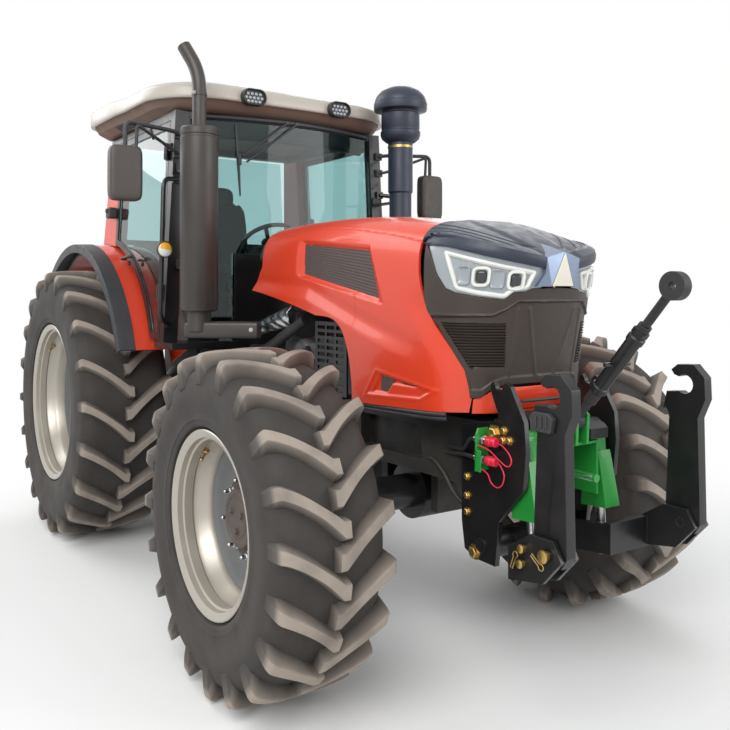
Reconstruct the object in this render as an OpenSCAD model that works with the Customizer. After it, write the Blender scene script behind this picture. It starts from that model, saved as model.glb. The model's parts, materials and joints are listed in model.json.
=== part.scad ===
// Four-wheel-drive farm tractor with a cab, a front linkage and a rear linkage.
// Millimetres. X points forwards, Y to the left, Z up. The ground is Z = 0.

/* [Wheels] */
// Distance between the rear and the front axle
wheelbase = 2860; // [2700:10:3000]
// Front tyre diameter over the lugs
front_tyre_d = 1510; // [1440:10:1560]
// Front tyre width
front_tyre_w = 520; // [460:10:540]
// Front rim diameter over the flanges
front_rim_d = 812; // [790:2:830]
// Front rim width between the flanges
front_rim_w = 470; // [430:10:490]
// Front track, between the wheel centres
front_track = 2040; // [2020:10:2100]
// Rear tyre diameter over the lugs
rear_tyre_d = 1910; // [1840:10:1950]
// Rear tyre width
rear_tyre_w = 620; // [560:10:640]
// Rear rim diameter over the flanges
rear_rim_d = 1117; // [1090:2:1140]
// Rear rim width between the flanges
rear_rim_w = 560; // [500:10:580]
// Rear track, between the wheel centres
rear_track = 1880; // [1870:10:1940]
// Sheet thickness of the rims
rim_wall = 12; // [8:1:16]

/* [Tyre lugs] */
// Lugs on each side of a tyre
lugs = 20; // [16:1:24]
// Height of a lug above the tread
lug_h = 52; // [40:1:60]
// Angle by which a lug's outer end lags behind its inner end
lug_lag = 12.9; // [8:0.1:16]
// Half width of a lug's top
lug_top = 26; // [20:1:32]
// Half width of a lug's inner end
lug_tip = 34; // [28:1:40]
// How much wider a lug is at its foot, on each side
lug_foot = 16; // [8:1:20]

/* [Front axle] */
// Distance between the two kingpins
kingpin_span = 1580; // [1560:10:1600]
// Kingpin radius
kingpin_r = 30; // [24:1:36]
// Radius of the axle beam
beam_r = 85; // [70:5:95]
// Length of the steering arms, kingpin to ball joint
steer_arm = 215; // [205:5:225]

/* [Hood] */
// Half width of the hood at its widest
hood_half_w = 430; // [400:5:440]
// Wall thickness of the hood panels
hood_wall = 16; // [10:1:20]
// Height of the hood's crown
hood_top_z = 2170; // [2120:10:2200]

/* [Cab] */
// Half width over the doors at floor level
cab_half_w = 860; // [840:5:880]
// Top of the cab floor
floor_z = 1440; // [1430:5:1450]
// Inward lean of the cab sides, in degrees
side_lean = 3.1; // [2:0.1:4]
// Height of the door opening above the floor
door_h = 1400; // [1360:10:1420]
// Thickness of a door and of the roof posts' outer skin
door_wall = 30; // [24:1:36]
// Depth of the roof posts
post_d = 90; // [70:5:100]
// Thickness of the window glass
glass_t = 6; // [5:1:8]
// Height of the roof shell
roof_h = 165; // [140:5:190]

/* [Fenders] */
// Outer radius of the rear fenders about the rear axle
fender_r = 1145; // [1120:5:1160]
// Thickness of the fender sheet
fender_t = 15; // [8:1:18]
// Outer edge of the painted fender, from the middle of the tractor
fender_y = 950; // [930:5:970]
// Width of the rubber flare outside the fender
flare_w = 110; // [80:5:140]

/* [Exhaust and intake] */
// Radius of the silencer
silencer_r = 113; // [90:1:125]
// Radius of the tailpipe
tailpipe_r = 54; // [40:1:60]
// Distance of both stacks from the middle of the tractor
stack_y = 752; // [745:1:770]
// Radius of the air intake pipe
intake_r = 77; // [60:1:85]

/* [Front linkage] */
// Distance between the two lower hooks
hook_span = 800; // [760:10:840]
// Length of the top link between its pins
top_link_l = 740; // [640:10:800]
// Angle of the stowed top link above the horizon
top_link_angle = 50; // [40:1:60]
// Radius of the top link's eye
eye_r = 55; // [45:1:60]
// Radius of the hole in the top link's eye
eye_bore_r = 16; // [12:0.5:20]

/* [Rear linkage] */
// Length of the rear lower links between their balls
lower_link_l = 950; // [850:10:1000]
// Radius of the ball hole in the lower links
link_bore_r = 18.6; // [14:0.1:19]
// Radius of the rear and the front power take-off shaft
pto_r = 17.4; // [15:0.1:22]
// Radius of the drawbar's pin hole
drawbar_bore_r = 16.5; // [14:0.5:20]

/* [Hidden] */
$fn = 64;
// Running clearance of pins and shafts, gap at a seat, at the hood's stop and beside moving pieces
run_gap = 0.05;
seat_gap = 0.4;
stop_gap = 4;
move_gap = 8;

// Main stations
rear_axle_z = rear_tyre_d / 2;
front_axle_z = front_tyre_d / 2;
fx = wheelbase;
kingpin_y = kingpin_span / 2;

// Front linkage stations, from the front axle
link_pivot = [690, 680];
top_pin = [945, 1220];
cylinder_top = [880, 1150];
claw_pin = [1200, 800];
front_reach = top_pin[0] + top_link_l * cos(top_link_angle) + eye_r;
// Rear linkage stations, from the rear axle
lower_pin = [-280, 560];
lower_link_angle = 4;
link_eye_r = 52;
rear_reach = -lower_pin[0] + lower_link_l * cos(lower_link_angle) + link_eye_r;
// Middle of the overall length, where the part's origin is
mid_x = (fx + front_reach - rear_reach) / 2;

red = "#d8402c";
black = "#26272b";
iron = "#1d1e20";
steel = "#b9bcc0";
green = "#1f8a33";
rubber = "#3a3836";
tint = "#9ab8b8";

// Helpers

// Moves the vehicle frame, with X = 0 at the rear axle, to the part's origin
module place() { translate([-mid_x, 0, 0]) children(); }

// Children on the left side, and their mirror image on the right
module both_sides() {
    children();
    mirror([0, 1, 0]) children();
}

// s = 1 is the left side, s = -1 the right side
module on_side(s) { if (s > 0) children(); else mirror([0, 1, 0]) children(); }

// A plate with a side-view outline [x, z], from y0 to y1
module side_plate(outline, y0, y1)
    translate([0, y1, 0]) rotate([90, 0, 0]) linear_extrude(y1 - y0) polygon(outline);

// A round bar along Y
module bar_y(x, z, r, y0, y1) translate([x, y0, z]) rotate([-90, 0, 0]) cylinder(r = r, h = y1 - y0);

// A round bar along X
module bar_x(y, z, r, x0, x1) translate([x0, y, z]) rotate([0, 90, 0]) cylinder(r = r, h = x1 - x0);

// A box given by two corners
module box(a, b) translate(a) cube(b - a);

// Unit vector
function unit(v) = v / norm(v);
// A route with each corner rounded over the length b
function rounded(points, b) = concat([points[0]],
    [for (i = [1 : len(points) - 2]) let (p = points[i], p0 = p + b * unit(points[i - 1] - p), p2 = p + b * unit(points[i + 1] - p))
        each [for (q = [0 : 0.2 : 1.01]) pow(1 - q, 2) * p0 + 2 * q * (1 - q) * p + q * q * p2]],
    [points[len(points) - 1]]);
// A round tube along a route
module tube(points, r, b = 60, sides = 10) {
    route = rounded(points, b);
    n = len(route);
    rings = [for (i = [0 : n - 1]) let (t = unit(route[min(n - 1, i + 1)] - route[max(0, i - 1)]), u = unit(cross(t, [0.31, 0.87, 0.4])), v = cross(t, u))
        for (k = [0 : sides - 1]) route[i] + r * (cos(360 * k / sides) * u + sin(360 * k / sides) * v)];
    polyhedron(points = rings, convexity = 4, faces = concat([[for (k = [0 : sides - 1]) k]],
        [[for (k = [sides - 1 : -1 : 0]) (n - 1) * sides + k]],
        [for (i = [0 : n - 2], k = [0 : sides - 1]) let (a = i * sides + k, c = i * sides + (k + 1) % sides) [a, a + sides, c + sides, c]]));
}
// A hollow pipe along a route, open at both ends
module pipe(points, r, wall, b = 60, sides = 20) {
    route = rounded(points, b);
    n = len(route);
    m = n * sides;
    ring = function (rr) [for (i = [0 : n - 1]) let (t = unit(route[min(n - 1, i + 1)] - route[max(0, i - 1)]), u = unit(cross(t, [0.31, 0.87, 0.4])), v = cross(t, u))
        for (k = [0 : sides - 1]) route[i] + rr * (cos(360 * k / sides) * u + sin(360 * k / sides) * v)];
    polyhedron(points = concat(ring(r), ring(r - wall)), convexity = 6, faces = [for (k = [0 : sides - 1]) let (j = (k + 1) % sides, e = (n - 1) * sides)
        each concat([[k, j, m + j, m + k], [e + j, e + k, m + e + k, m + e + j]],
            [for (i = [0 : n - 2]) let (a = i * sides + k, c = i * sides + j) each [[a, a + sides, c + sides, c], [m + a, m + c, m + c + sides, m + a + sides]]])]);
}
// Outline of a rectangle with round corners, about its middle
function round_rect(w, h, r) = [for (c = [[1, 1, 0], [-1, 1, 90], [-1, -1, 180], [1, -1, 270]]) each
    arc([c[0] * (w / 2 - r), c[1] * (h / 2 - r)], r, c[2], c[2] + 90, 6)];

// Points on an arc about a centre, in a side view
function arc(c, r, a0, a1, n) = [for (i = [0 : n]) let (a = a0 + (a1 - a0) * i / n) c + r * [cos(a), sin(a)]];

// Wheels

// Rim and disc: a turned section about the wheel's own axis, which is Z here, outwards
module rim(d, w, disc_at, hub_r, hub_out, spindle_r, spindle_in) {
    r = d / 2;
    seat = r - 25;
    well = seat - 45;
    h = w / 2;
    t = rim_wall;
    rotate_extrude() difference() {
        polygon([[r, -h], [r, -h + t], [seat, -h + t + 8], [seat, -h + 90], [well, -h + 130], [well, h - 170],
            [seat, h - 110], [seat, h - t - 8], [r, h - t], [r, h],
            [seat - t, h - 14], [seat - t - 2, h - 40], [seat - t - 11, h - 46], [seat - t - 13, h - 85],
            [seat - t - 6, h - 94], [seat - t - 10, h - 112], [well - t, h - 170 - t / 2],
            [well - t, disc_at + t], [hub_r, disc_at + t], [hub_r, hub_out], [0, hub_out],
            [0, spindle_in], [spindle_r, spindle_in], [spindle_r, disc_at - 60], [hub_r, disc_at - 60],
            [hub_r, disc_at], [well - t, disc_at], [well - t, -h + 130 + t / 2], [seat - t, -h + 90 + t / 2],
            [seat - t, -h + 4]]);
    }
}

// Tyre: one closed skin. Its rows run from the tread's middle over the left wall and bead, through the inside and back
// over the right side. Its columns stand at both edges of each lug and lag behind towards the shoulder.
module tyre(d, w, rim_d, rim_w) {
    r = d / 2;
    h = w / 2;
    p = 360 / lugs;
    n = 2 * lugs;
    seat = (rim_d / 2 - 25 + seat_gap) / cos(180 / n);
    // half section: radius, distance from the middle, half a lug's foot there (0 below the lugs)
    half = [[r - lug_h, 6, lug_tip + lug_foot], [r - lug_h - 24, 0.88 * h, lug_top + lug_foot], [r - 160, h, lug_top],
        [rim_d / 2 + 12, rim_w / 2 - 10, 0], [seat, rim_w / 2 - rim_wall - 21, 0], [seat, rim_w / 2 - rim_wall - 63, 0],
        [r - lug_h - 34, h - 100, 0]];
    rows = 2 * len(half);
    foot = function (s, i, j) let (q = half[i], e = q[2] > 0 ? atan(q[2] / q[0]) : p / 4,
            a = 270 + p * floor(j / 2) + (j % 2 * 2 - 1) * (s > 0 ? e : p / 2 - e) + (i > 0 ? lug_lag : 0))
        [q[0] * cos(a), s * q[1], q[0] * sin(a)];
    // corners of a lug's top: two at its inner end, whose flat touches the ground, and two at the shoulder
    tip_a = atan(lug_tip / r);
    top_r = r - 12;
    top = function (s, k, t) let (inner = t < 2, q = inner ? r / cos(tip_a) : top_r,
            a = 270 + p * (k + (s > 0 ? 0 : 0.5)) + (inner ? 0 : lug_lag) + (t % 2 * 2 - 1) * (inner ? tip_a : atan(lug_top / top_r)))
        [q * cos(a), s * (inner ? -12 : 0.93 * h), q * sin(a)];
    id = function (i, j) (i % rows) * n + j % n;
    is_lug = function (i, j) (i < 2 && j % 2 == 0) || ((i == rows - 3 || i == rows - 2) && j % 2 == 1);
    lug = function (c, q, e, j, t) let (c0 = id(c, j), c1 = id(c, j + 1), q0 = id(q, j), q1 = id(q, j + 1), e0 = id(e, j), e1 = id(e, j + 1))
        [[t, t + 1, t + 3], [t, t + 3, t + 2], [t + 2, t + 3, e1], [t + 2, e1, e0], [c0, t, t + 2], [c0, t + 2, q0], [q0, t + 2, e0],
         [c1, t + 3, t + 1], [c1, q1, t + 3], [q1, e1, t + 3], [c0, c1, t + 1], [c0, t + 1, t]];
    polyhedron(convexity = 10, points = concat(
        [for (i = [0 : len(half) - 1], j = [0 : n - 1]) foot(1, i, j)],
        [for (i = [len(half) - 1 : -1 : 0], j = [0 : n - 1]) foot(-1, i, j)],
        [for (s = [1, -1], k = [0 : lugs - 1], t = [0 : 3]) top(s, k, t)]), faces = concat(
        [for (i = [0 : rows - 1], j = [0 : n - 1]) if (!is_lug(i, j)) each
            [[id(i, j), id(i, j + 1), id(i + 1, j + 1)], [id(i, j), id(i + 1, j + 1), id(i + 1, j)]]],
        [for (k = [0 : lugs - 1]) each lug(0, 1, 2, 2 * k, rows * n + 4 * k)],
        [for (k = [0 : lugs - 1], f = lug(rows - 1, rows - 2, rows - 3, 2 * k + 1, rows * n + 4 * (lugs + k))) [f[2], f[1], f[0]]]));
}

// A wheel's own axis turned to point outwards on its side
module at_wheel(s, x, y, z) translate([x, s * y, z]) rotate([-90 * s, 0, 0]) children();

front_disc = 20;
front_hub_r = 135;
front_hub_out = 90;
front_spindle_r = 60;
front_spindle_end = 40;
rear_disc = 30;
rear_hub_r = 170;
rear_hub_out = 75;
rear_spindle_r = 62;
rear_spindle_end = 30;

module rim_front(s) color(steel) at_wheel(s, fx, front_track / 2, front_axle_z)
    rim(front_rim_d, front_rim_w, front_disc, front_hub_r, front_hub_out,
        front_spindle_r + run_gap, front_spindle_end + seat_gap);
module tyre_front(s) color(rubber) translate([fx, s * front_track / 2, front_axle_z])
    tyre(front_tyre_d, front_tyre_w, front_rim_d, front_rim_w);
module rim_rear(s) color(steel) at_wheel(s, 0, rear_track / 2, rear_axle_z)
    rim(rear_rim_d, rear_rim_w, rear_disc, rear_hub_r, rear_hub_out,
        rear_spindle_r + run_gap, rear_spindle_end + seat_gap);
module tyre_rear(s) color(rubber) translate([0, s * rear_track / 2, rear_axle_z])
    tyre(rear_tyre_d, rear_tyre_w, rear_rim_d, rear_rim_w);

// Front axle and steering

yoke_half_h = 185;
yoke_ear = 50;
yoke_web_y = kingpin_y - 140;
steer_rod_z = front_axle_z - 115;
steer_rod_r = 22;
hanger_x = [180, 230];
diff_r = 140;
trunnion_r = 60;
trunnion_z = front_axle_z + 35;

module front_axle() color(black) difference() {
    union() {
        bar_y(fx, front_axle_z, beam_r, -yoke_web_y, yoke_web_y);
        bar_y(fx, front_axle_z, diff_r, -150, 150);
        bar_x(0, trunnion_z, trunnion_r, fx - hanger_x[1], fx + hanger_x[1]);
        both_sides() {
            box([fx - 55, yoke_web_y - 1, front_axle_z - yoke_half_h], [fx + 55, yoke_web_y + 50, front_axle_z + yoke_half_h]);
            for (z = [front_axle_z - yoke_half_h, front_axle_z + yoke_half_h - yoke_ear]) {
                box([fx - 55, yoke_web_y + 20, z], [fx + 55, kingpin_y, z + yoke_ear]);
                translate([fx, kingpin_y, z]) cylinder(r = 70, h = yoke_ear);
            }
        }
        bar_y(fx - steer_arm, steer_rod_z, 42, -230, 230);
        box([fx - steer_arm, -60, steer_rod_z - 30], [fx - 100, 60, steer_rod_z + 30]);
    }
    both_sides() translate([fx, kingpin_y, 0]) cylinder(r = kingpin_r + run_gap, h = front_axle_z * 2);
    bar_y(fx - steer_arm, steer_rod_z, steer_rod_r + run_gap, -240, 240);
}

module knuckle(s) color(black) on_side(s) {
    inner = yoke_half_h - yoke_ear - 2;
    hub_y = front_track / 2 + front_disc - 60 - move_gap;
    translate([fx, kingpin_y, front_axle_z - yoke_half_h]) cylinder(r = kingpin_r, h = 2 * yoke_half_h);
    translate([fx, kingpin_y, front_axle_z - inner]) cylinder(r = 80, h = 2 * inner);
    bar_y(fx, front_axle_z, 120, kingpin_y, hub_y);
    bar_y(fx, front_axle_z, front_spindle_r, kingpin_y, front_track / 2 + front_spindle_end);
    arm_z = steer_rod_z + steer_rod_r + 12;
    box([fx - steer_arm, kingpin_y - 30, arm_z], [fx, kingpin_y + 30, arm_z + 34]);
    translate([fx - steer_arm, kingpin_y, arm_z - 6]) cylinder(r = 30, h = 40);
}

module steering_rod() color(steel) {
    end_y = kingpin_y - 4;
    bar_y(fx - steer_arm, steer_rod_z, steer_rod_r, -end_y, end_y);
    both_sides() translate([fx - steer_arm, end_y, steer_rod_z - 20]) cylinder(r = 32, h = 40);
}

// Running gear along the middle

frame_half_w = 265;
frame_z = [905, 1200];
frame_x = [fx - 350, fx + 700];
module front_frame() color(iron) difference() {
    union() {
        side_plate([[frame_x[0], frame_z[0]], [frame_x[1] - 90, frame_z[0]], [frame_x[1], frame_z[0] + 80],
            [frame_x[1], frame_z[1]], [frame_x[0], frame_z[1]]], -frame_half_w, frame_half_w);
        box([fx + 670, -180, frame_z[1] - 1], [fx + 740, 180, panel_z[0] - seat_gap]);
        for (m = [-1, 1])
            box([fx + m * (hanger_x[0] + hanger_x[1]) / 2 - 25, -150, trunnion_z - 100],
                [fx + m * (hanger_x[0] + hanger_x[1]) / 2 + 25, 150, frame_z[0] + 1]);
    }
    bar_x(0, trunnion_z, trunnion_r + seat_gap, fx - 300, fx + 300);
    both_sides() box([frame_x[0] + 90, frame_half_w - 60, frame_z[0] + 60], [fx + 250, frame_half_w + 1, frame_z[1] - 70]);
}

radiator_x = [fx + 100, fx + 340];
radiator_z = 1960;
stop_x = fx + 280;
module radiator() color(iron) {
    box([radiator_x[0], -350, frame_z[1] + seat_gap], [radiator_x[1], 350, radiator_z]);
    // rubber stop under the hood's crown
    box([stop_x - 80, -40, radiator_z - 1], [stop_x, 40, hood_zt(stop_x) - hood_wall - stop_gap]);
}

engine_x = [1760, frame_x[0] - seat_gap];
module engine() color("#55585a") {
    box([engine_x[0], -250, 860], [engine_x[1], 250, 1500]);
    box([engine_x[0] + 80, -180, 700], [engine_x[1] - 120, 180, 861]);
    box([engine_x[0] + 60, -120, 1499], [engine_x[1] - 40, 120, 1660]);
    bar_x(0, 1180, 230, engine_x[0] - 60, engine_x[0] + 1);
    // turbocharger, manifolds and the air duct's rails
    translate([engine_x[0] + 320, -249, 1420]) rotate([90, 0, 0]) rotate_extrude()
        polygon([[0, 0], [70, 0], [74, 20], [74, 62], [66, 78], [45, 82], [45, 92], [0, 92]]);
    both_sides() box([engine_x[0] + 130, 119, 1500], [engine_x[0] + 300, 345, 1640]);
    box([engine_x[0] + 190, -320, 1380], [engine_x[0] + 500, -249, 1470]);
    // rocker cover's bolts rail, oil filter and sump ribs
    both_sides() box([engine_x[0] + 90, 60, 1659], [engine_x[1] - 70, 90, 1672]);
    translate([engine_x[0] + 420, -290, 960]) cylinder(r = 48, h = 220);
    for (i = [0 : 4]) box([engine_x[0] + 110 + i * 90, -196, 730], [engine_x[0] + 130 + i * 90, 196, 850]);
    // posts and pin of the hood's hinge
    both_sides() side_plate([[hood_hinge[0] - 25, hood_hinge[1] + 25], [hood_hinge[0] + 25, hood_hinge[1] + 25], [engine_x[0] + 140, 1490], [engine_x[0] + 10, 1490]], 110, 135);
    bar_y(hood_hinge[0], hood_hinge[1], hinge_pin_r, -180, 180);
}

screen_x = [fx - 530, fx - 220];
screen_z = [1215, 1600];
module engine_screens() color(black) {
    screen_grids();
    screen_feet();
}
module screen_grids() both_sides() difference() {
    box([screen_x[0], 372, screen_z[0]], [screen_x[1], 384, screen_z[1]]);
    for (i = [0 : 9], j = [0 : 2])
        box([screen_x[0] + 25 + j * 92, 360, screen_z[0] + 20 + i * 36],
            [screen_x[0] + 25 + j * 92 + 76, 396, screen_z[0] + 20 + i * 36 + 20]);
}
module screen_feet() both_sides() box([screen_x[1] - 120, 230, frame_z[1] + seat_gap], [screen_x[1] - 40, 384, screen_z[0] + 1]);

gearbox_x = [-300, engine_x[0] - 60 - seat_gap];
pto_z = 760;
module gearbox() color(iron) {
    side_plate([[gearbox_x[0], 640], [-200, 640], [300, 560], [1100, 620], [gearbox_x[1], 760], [gearbox_x[1], 1330],
        [1100, 1340], [0, 1340], [-60, 1290], [gearbox_x[0], 1290]], -240, 240);
    bar_x(0, pto_z, 60, gearbox_x[0] - 40, gearbox_x[0] + 1);
    bar_x(0, pto_z, pto_r, gearbox_x[0] - 150, gearbox_x[0] - 39);
    box([-330, -110, 1120], [-299, 110, 1290]);
    both_sides() difference() {
        union() {
            bar_y(lift_pin[0], lift_pin[1], 75, 150, 200);
            box([lift_pin[0] - 60, 150, 1280], [lift_pin[0] + 60, 200, lift_pin[1]]);
        }
        bar_y(lift_pin[0], lift_pin[1], 45 + run_gap, 140, 210);
    }
}

trumpet_y = [240, rear_track / 2 + rear_disc - 60 - move_gap];
module rear_axle() color(iron) both_sides() {
    translate([0, trumpet_y[0] + seat_gap, rear_axle_z]) rotate([-90, 0, 0]) rotate_extrude() polygon([
        [0, 0], [210, 0], [210, 30], [150, 80], [130, trumpet_y[1] - trumpet_y[0] - 120],
        [175, trumpet_y[1] - trumpet_y[0] - 60], [175, trumpet_y[1] - trumpet_y[0] - 10],
        [rear_spindle_r, trumpet_y[1] - trumpet_y[0]],
        [rear_spindle_r, rear_track / 2 + rear_spindle_end - trumpet_y[0] - seat_gap],
        [0, rear_track / 2 + rear_spindle_end - trumpet_y[0] - seat_gap]]);
    // clevis of a lower link
    for (y = [link_y - 48, link_y + 33])
        side_plate([[-90, 880], [90, 880], [60, 800], [lower_pin[0] + 60, lower_pin[1] - 50], [lower_pin[0] - 50, lower_pin[1] - 50],
            [lower_pin[0] - 50, lower_pin[1] + 60]], y, y + 15);
    bar_y(lower_pin[0], lower_pin[1], 20, link_y - 48, link_y + 48);
}

module fuel_tank() color(black) {
    box([1130, 280, 640], [1560, 560, 1300]);
    box([1200, 240 + seat_gap, 900], [1500, 281, 960]);
}

module steps() color(iron) {
    for (z = [560, 830, 1100]) {
        box([1180, 570, z], [1480, 800, z + 30]);
        box([1180, -800, z], [1480, -570, z + 30]);
    }
    both_sides() for (x = [1180, 1468]) box([x, 569, 560], [x + 12, 590, floor_z - 40 - seat_gap]);
    box([1130, -560, 640], [1560, -240 - seat_gap, 1150]);
}

// Cab

// The plane of a cab side: y = 0 is the outer face, y < 0 inside, z = 0 the floor
module side_frame(s) on_side(s) translate([0, cab_half_w, floor_z]) rotate([side_lean, 0, 0]) children();
module side_slab(outline, y0, y1) translate([0, y1, 0]) rotate([90, 0, 0]) linear_extrude(y1 - y0) polygon(outline);

a_post_x = [1228, 1300];
c_post_x = [30, 240];
door_x = [c_post_x[1] + 6, a_post_x[0] - 6];
axle_h = rear_axle_z - floor_z;
// Outline of a door: straight front, top and rear edges, and a bottom edge round the fender
function door_outline(inset) = let (r = fender_r + 25 + inset, z0 = 20 + inset, x1 = door_x[1] - inset, x0 = door_x[0] + inset,
        a0 = asin((z0 - axle_h) / r), a1 = acos(x0 / r))
    concat([[x1, z0]], arc([0, axle_h], r, a0, a1, 12), [[x0, door_h - inset], [x1, door_h - inset]]);

// Firewall, rear sill and the top of the dash
firewall_x = [1385, 1400];
sill_z = [2110, 2150];
dash_z = 2000;
post_top_z = floor_z + door_h;
module cab_frame() color(black) {
    // floor
    difference() {
        union() {
            box([-30, -fender_wall_y + seat_gap, floor_z - 40], [firewall_x[1], fender_wall_y - seat_gap, floor_z]);
            both_sides() box([1090, fender_wall_y - 6, floor_z - 40], [firewall_x[1], cab_half_w - 20, floor_z]);
        }
    }
    // front posts, side rails and headers
    for (s = [-1, 1]) side_frame(s) {
        side_slab([[a_post_x[0], 2], [a_post_x[1], 2], [a_post_x[1], door_h + 60], [a_post_x[0], door_h + 60]], -post_d, 0);
        side_slab([[c_post_x[0], door_h + 4], [a_post_x[1], door_h + 4], [a_post_x[1], door_h + 60], [c_post_x[0], door_h + 60]], -post_d, 0);
    }
    // post sides of the door hinges
    for (s = [-1, 1], z = hinge_zs) side_frame(s) {
        translate([door_pin[0], door_pin[1], z + 52]) cylinder(r = 16, h = 50);
        translate([door_pin[0], door_pin[1], z]) cylinder(r = door_pin_r, h = 60);
        box([door_pin[0], -1, z + 52], [a_post_x[0] + 40, 12, z + 102]);
    }
    box([a_post_x[0], -690, floor_z + door_h + 10], [a_post_x[1], 690, floor_z + door_h + 55]);
    box([c_post_x[0], -690, floor_z + door_h + 10], [c_post_x[0] + 60, 690, floor_z + door_h + 55]);
    // firewall, rear wall and rear sill
    box([firewall_x[0], -420, floor_z - 1], [firewall_x[1], 420, dash_z]);
    box([-60, 5 - fender_wall_y, floor_z - 40], [-30, fender_wall_y - 5, sill_z[0]]);
    // mounts on the gearbox
    for (x = [60, 900]) box([x, -200, 1340 + seat_gap], [x + 140, 200, floor_z - 39]);
    box([-60, -700, sill_z[0]], [0, 700, sill_z[1]]);
}

module rear_posts() color(red) for (s = [-1, 1]) side_frame(s) {
    foot = fender_r + 8;
    a0 = acos((c_post_x[1] + 1) / foot);
    side_slab(concat(arc([0, axle_h], foot, a0, 92, 4), [[c_post_x[0], door_h + 4 - seat_gap], [c_post_x[1], door_h + 4 - seat_gap]]), -post_d, 0);
}

roof_x = [-160, 1450];
roof_half_w = 945;
roof_z = floor_z + (door_h + 60) * cos(side_lean) + seat_gap;
roof_corner = [220, 420];
roof_waist = 34;
// Plan of the roof, inset by d: round corners, and sides that draw in ahead of the rear posts
function roof_plan(d) = concat(
    arc([roof_x[1] - roof_corner[1], roof_half_w - roof_waist - roof_corner[1]], roof_corner[1] - d, 0, 90, 8),
    [for (x = [860, 700, 580, 460, 340]) [x, roof_half_w - d - lookup(x, [[340, 0], [460, 6], [580, roof_waist - 8], [700, roof_waist]])]],
    arc([roof_x[0] + roof_corner[0], roof_half_w - roof_corner[0]], roof_corner[0] - d, 90, 180, 6));
// The lip's height: it drops towards the rear
function roof_lip(x) = lookup(x, [[roof_x[0], 22], [340, 26], [580, 44], [1000, 48], [roof_x[1], 48]]);
// Rows of the roof from below: inset, height above the roof's underside, share of the lip's height
roof_rows = [[120, 0, 0], [10, -12, 1], [0, 2, 1], [0, roof_h - 50, 0], [16, roof_h - 30, 0], [60, roof_h - 12, 0], [190, roof_h, 0]];
module roof() color("#d9d4cc") loft([for (r = roof_rows) let (half = roof_plan(r[0]), n = len(half))
    [for (q = concat(half, [for (i = [n - 1 : -1 : 0]) [half[i][0], -half[i][1]]]))
        [q[0], q[1], roof_z + r[1] + r[2] * roof_lip(q[0])]]]);
// A closed solid through loops of points that run round it, from its foot to its top
module loft(rows) {
    n = len(rows[0]);
    m = len(rows);
    polyhedron(convexity = 6, points = [for (r = rows) each r], faces = concat(
        [[for (k = [0 : n - 1]) k]], [[for (k = [n - 1 : -1 : 0]) (m - 1) * n + k]],
        [for (i = [0 : m - 2], k = [0 : n - 1]) let (a = i * n + k, c = i * n + (k + 1) % n) each [[a, a + n, c + n], [a, c + n, c]]]));
}

windscreen_r = 1780;
windscreen_x = 1420;
module windscreen() color(tint) difference() {
    intersection() {
        translate([windscreen_x - windscreen_r, 0, 0]) rotate_extrude($fn = 128)
            translate([windscreen_r - glass_t, floor_z + seat_gap]) square([glass_t, door_h + 8]);
        y0 = cab_half_w - post_d - 2;
        y1 = y0 - (door_h + 9) * tan(side_lean);
        translate([1000, 0, 0]) rotate([90, 0, 90]) linear_extrude(500)
            polygon([[-y0, floor_z], [y0, floor_z], [y1, floor_z + door_h + 9], [-y1, floor_z + door_h + 9]]);
    }
    box([1300, -424, floor_z], [1500, 424, dash_z + 4]);
}

module rear_window() color(tint) {
    y0 = cab_half_w - post_d - (sill_z[1] - floor_z) * tan(side_lean) - 2;
    y1 = cab_half_w - post_d - door_h * tan(side_lean) - 2;
    translate([-40, 0, 0]) rotate([90, 0, 90]) linear_extrude(glass_t)
        polygon([[-y0, sill_z[1] + seat_gap], [y0, sill_z[1] + seat_gap], [y1, floor_z + door_h + 8], [-y1, floor_z + door_h + 8]]);
}

// Hinges of the doors stand outside the front posts
door_pin = [a_post_x[0] - 3, 18];
door_pin_r = 8;
hinge_zs = [260, 1150];
module door_frame(s) color(black) side_frame(s) difference() {
    union() {
        difference() {
            side_slab(door_outline(0), -door_wall, 0);
            side_slab(door_outline(42), -door_wall - 1, 1);
        }
        for (z = hinge_zs) {
            translate([door_pin[0], door_pin[1], z]) cylinder(r = 16, h = 50);
            box([door_x[1] - 36, -1, z], [door_pin[0], 12, z + 50]);
        }
    }
    for (z = hinge_zs) translate([door_pin[0], door_pin[1], z - 1]) cylinder(r = door_pin_r + run_gap, h = 60);
}
module door_glass(s) color(tint) side_frame(s) side_slab(door_outline(42 + seat_gap), -glass_t - 12, -12);

fender_a = [22, 152];
// Inner wall of the fenders, beside the rear tyres
fender_wall_y = rear_track / 2 - rear_tyre_w / 2 - 45;
module arch(section, a0, a1) rotate([90, 0, 0]) rotate([0, 0, a0]) rotate_extrude(angle = a1 - a0, $fn = 128) polygon(section);
// The section's X is the radius and its Y is the distance to the right, so the left side is mirrored
module fenders() color(red) both_sides() translate([0, 0, rear_axle_z]) mirror([0, 1, 0])
    arch([[fender_r - 320, fender_wall_y], [fender_r, fender_wall_y], [fender_r, fender_y], [fender_r - fender_t, fender_y],
        [fender_r - fender_t, fender_wall_y + fender_t], [fender_r - 320, fender_wall_y + fender_t]], fender_a[0], fender_a[1]);
module fender_flares() color(black) both_sides() translate([0, 0, rear_axle_z]) mirror([0, 1, 0])
    arch([[fender_r - 40, fender_y + seat_gap], [fender_r + 6, fender_y + seat_gap], [fender_r + 2, fender_y + flare_w],
        [fender_r - 60, fender_y + flare_w], [fender_r - 60, fender_y + flare_w - 14], [fender_r - 14, fender_y + flare_w - 14],
        [fender_r - 14, fender_y + 14], [fender_r - 40, fender_y + 14]], fender_a[0], fender_a[1] + 4);

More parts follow.
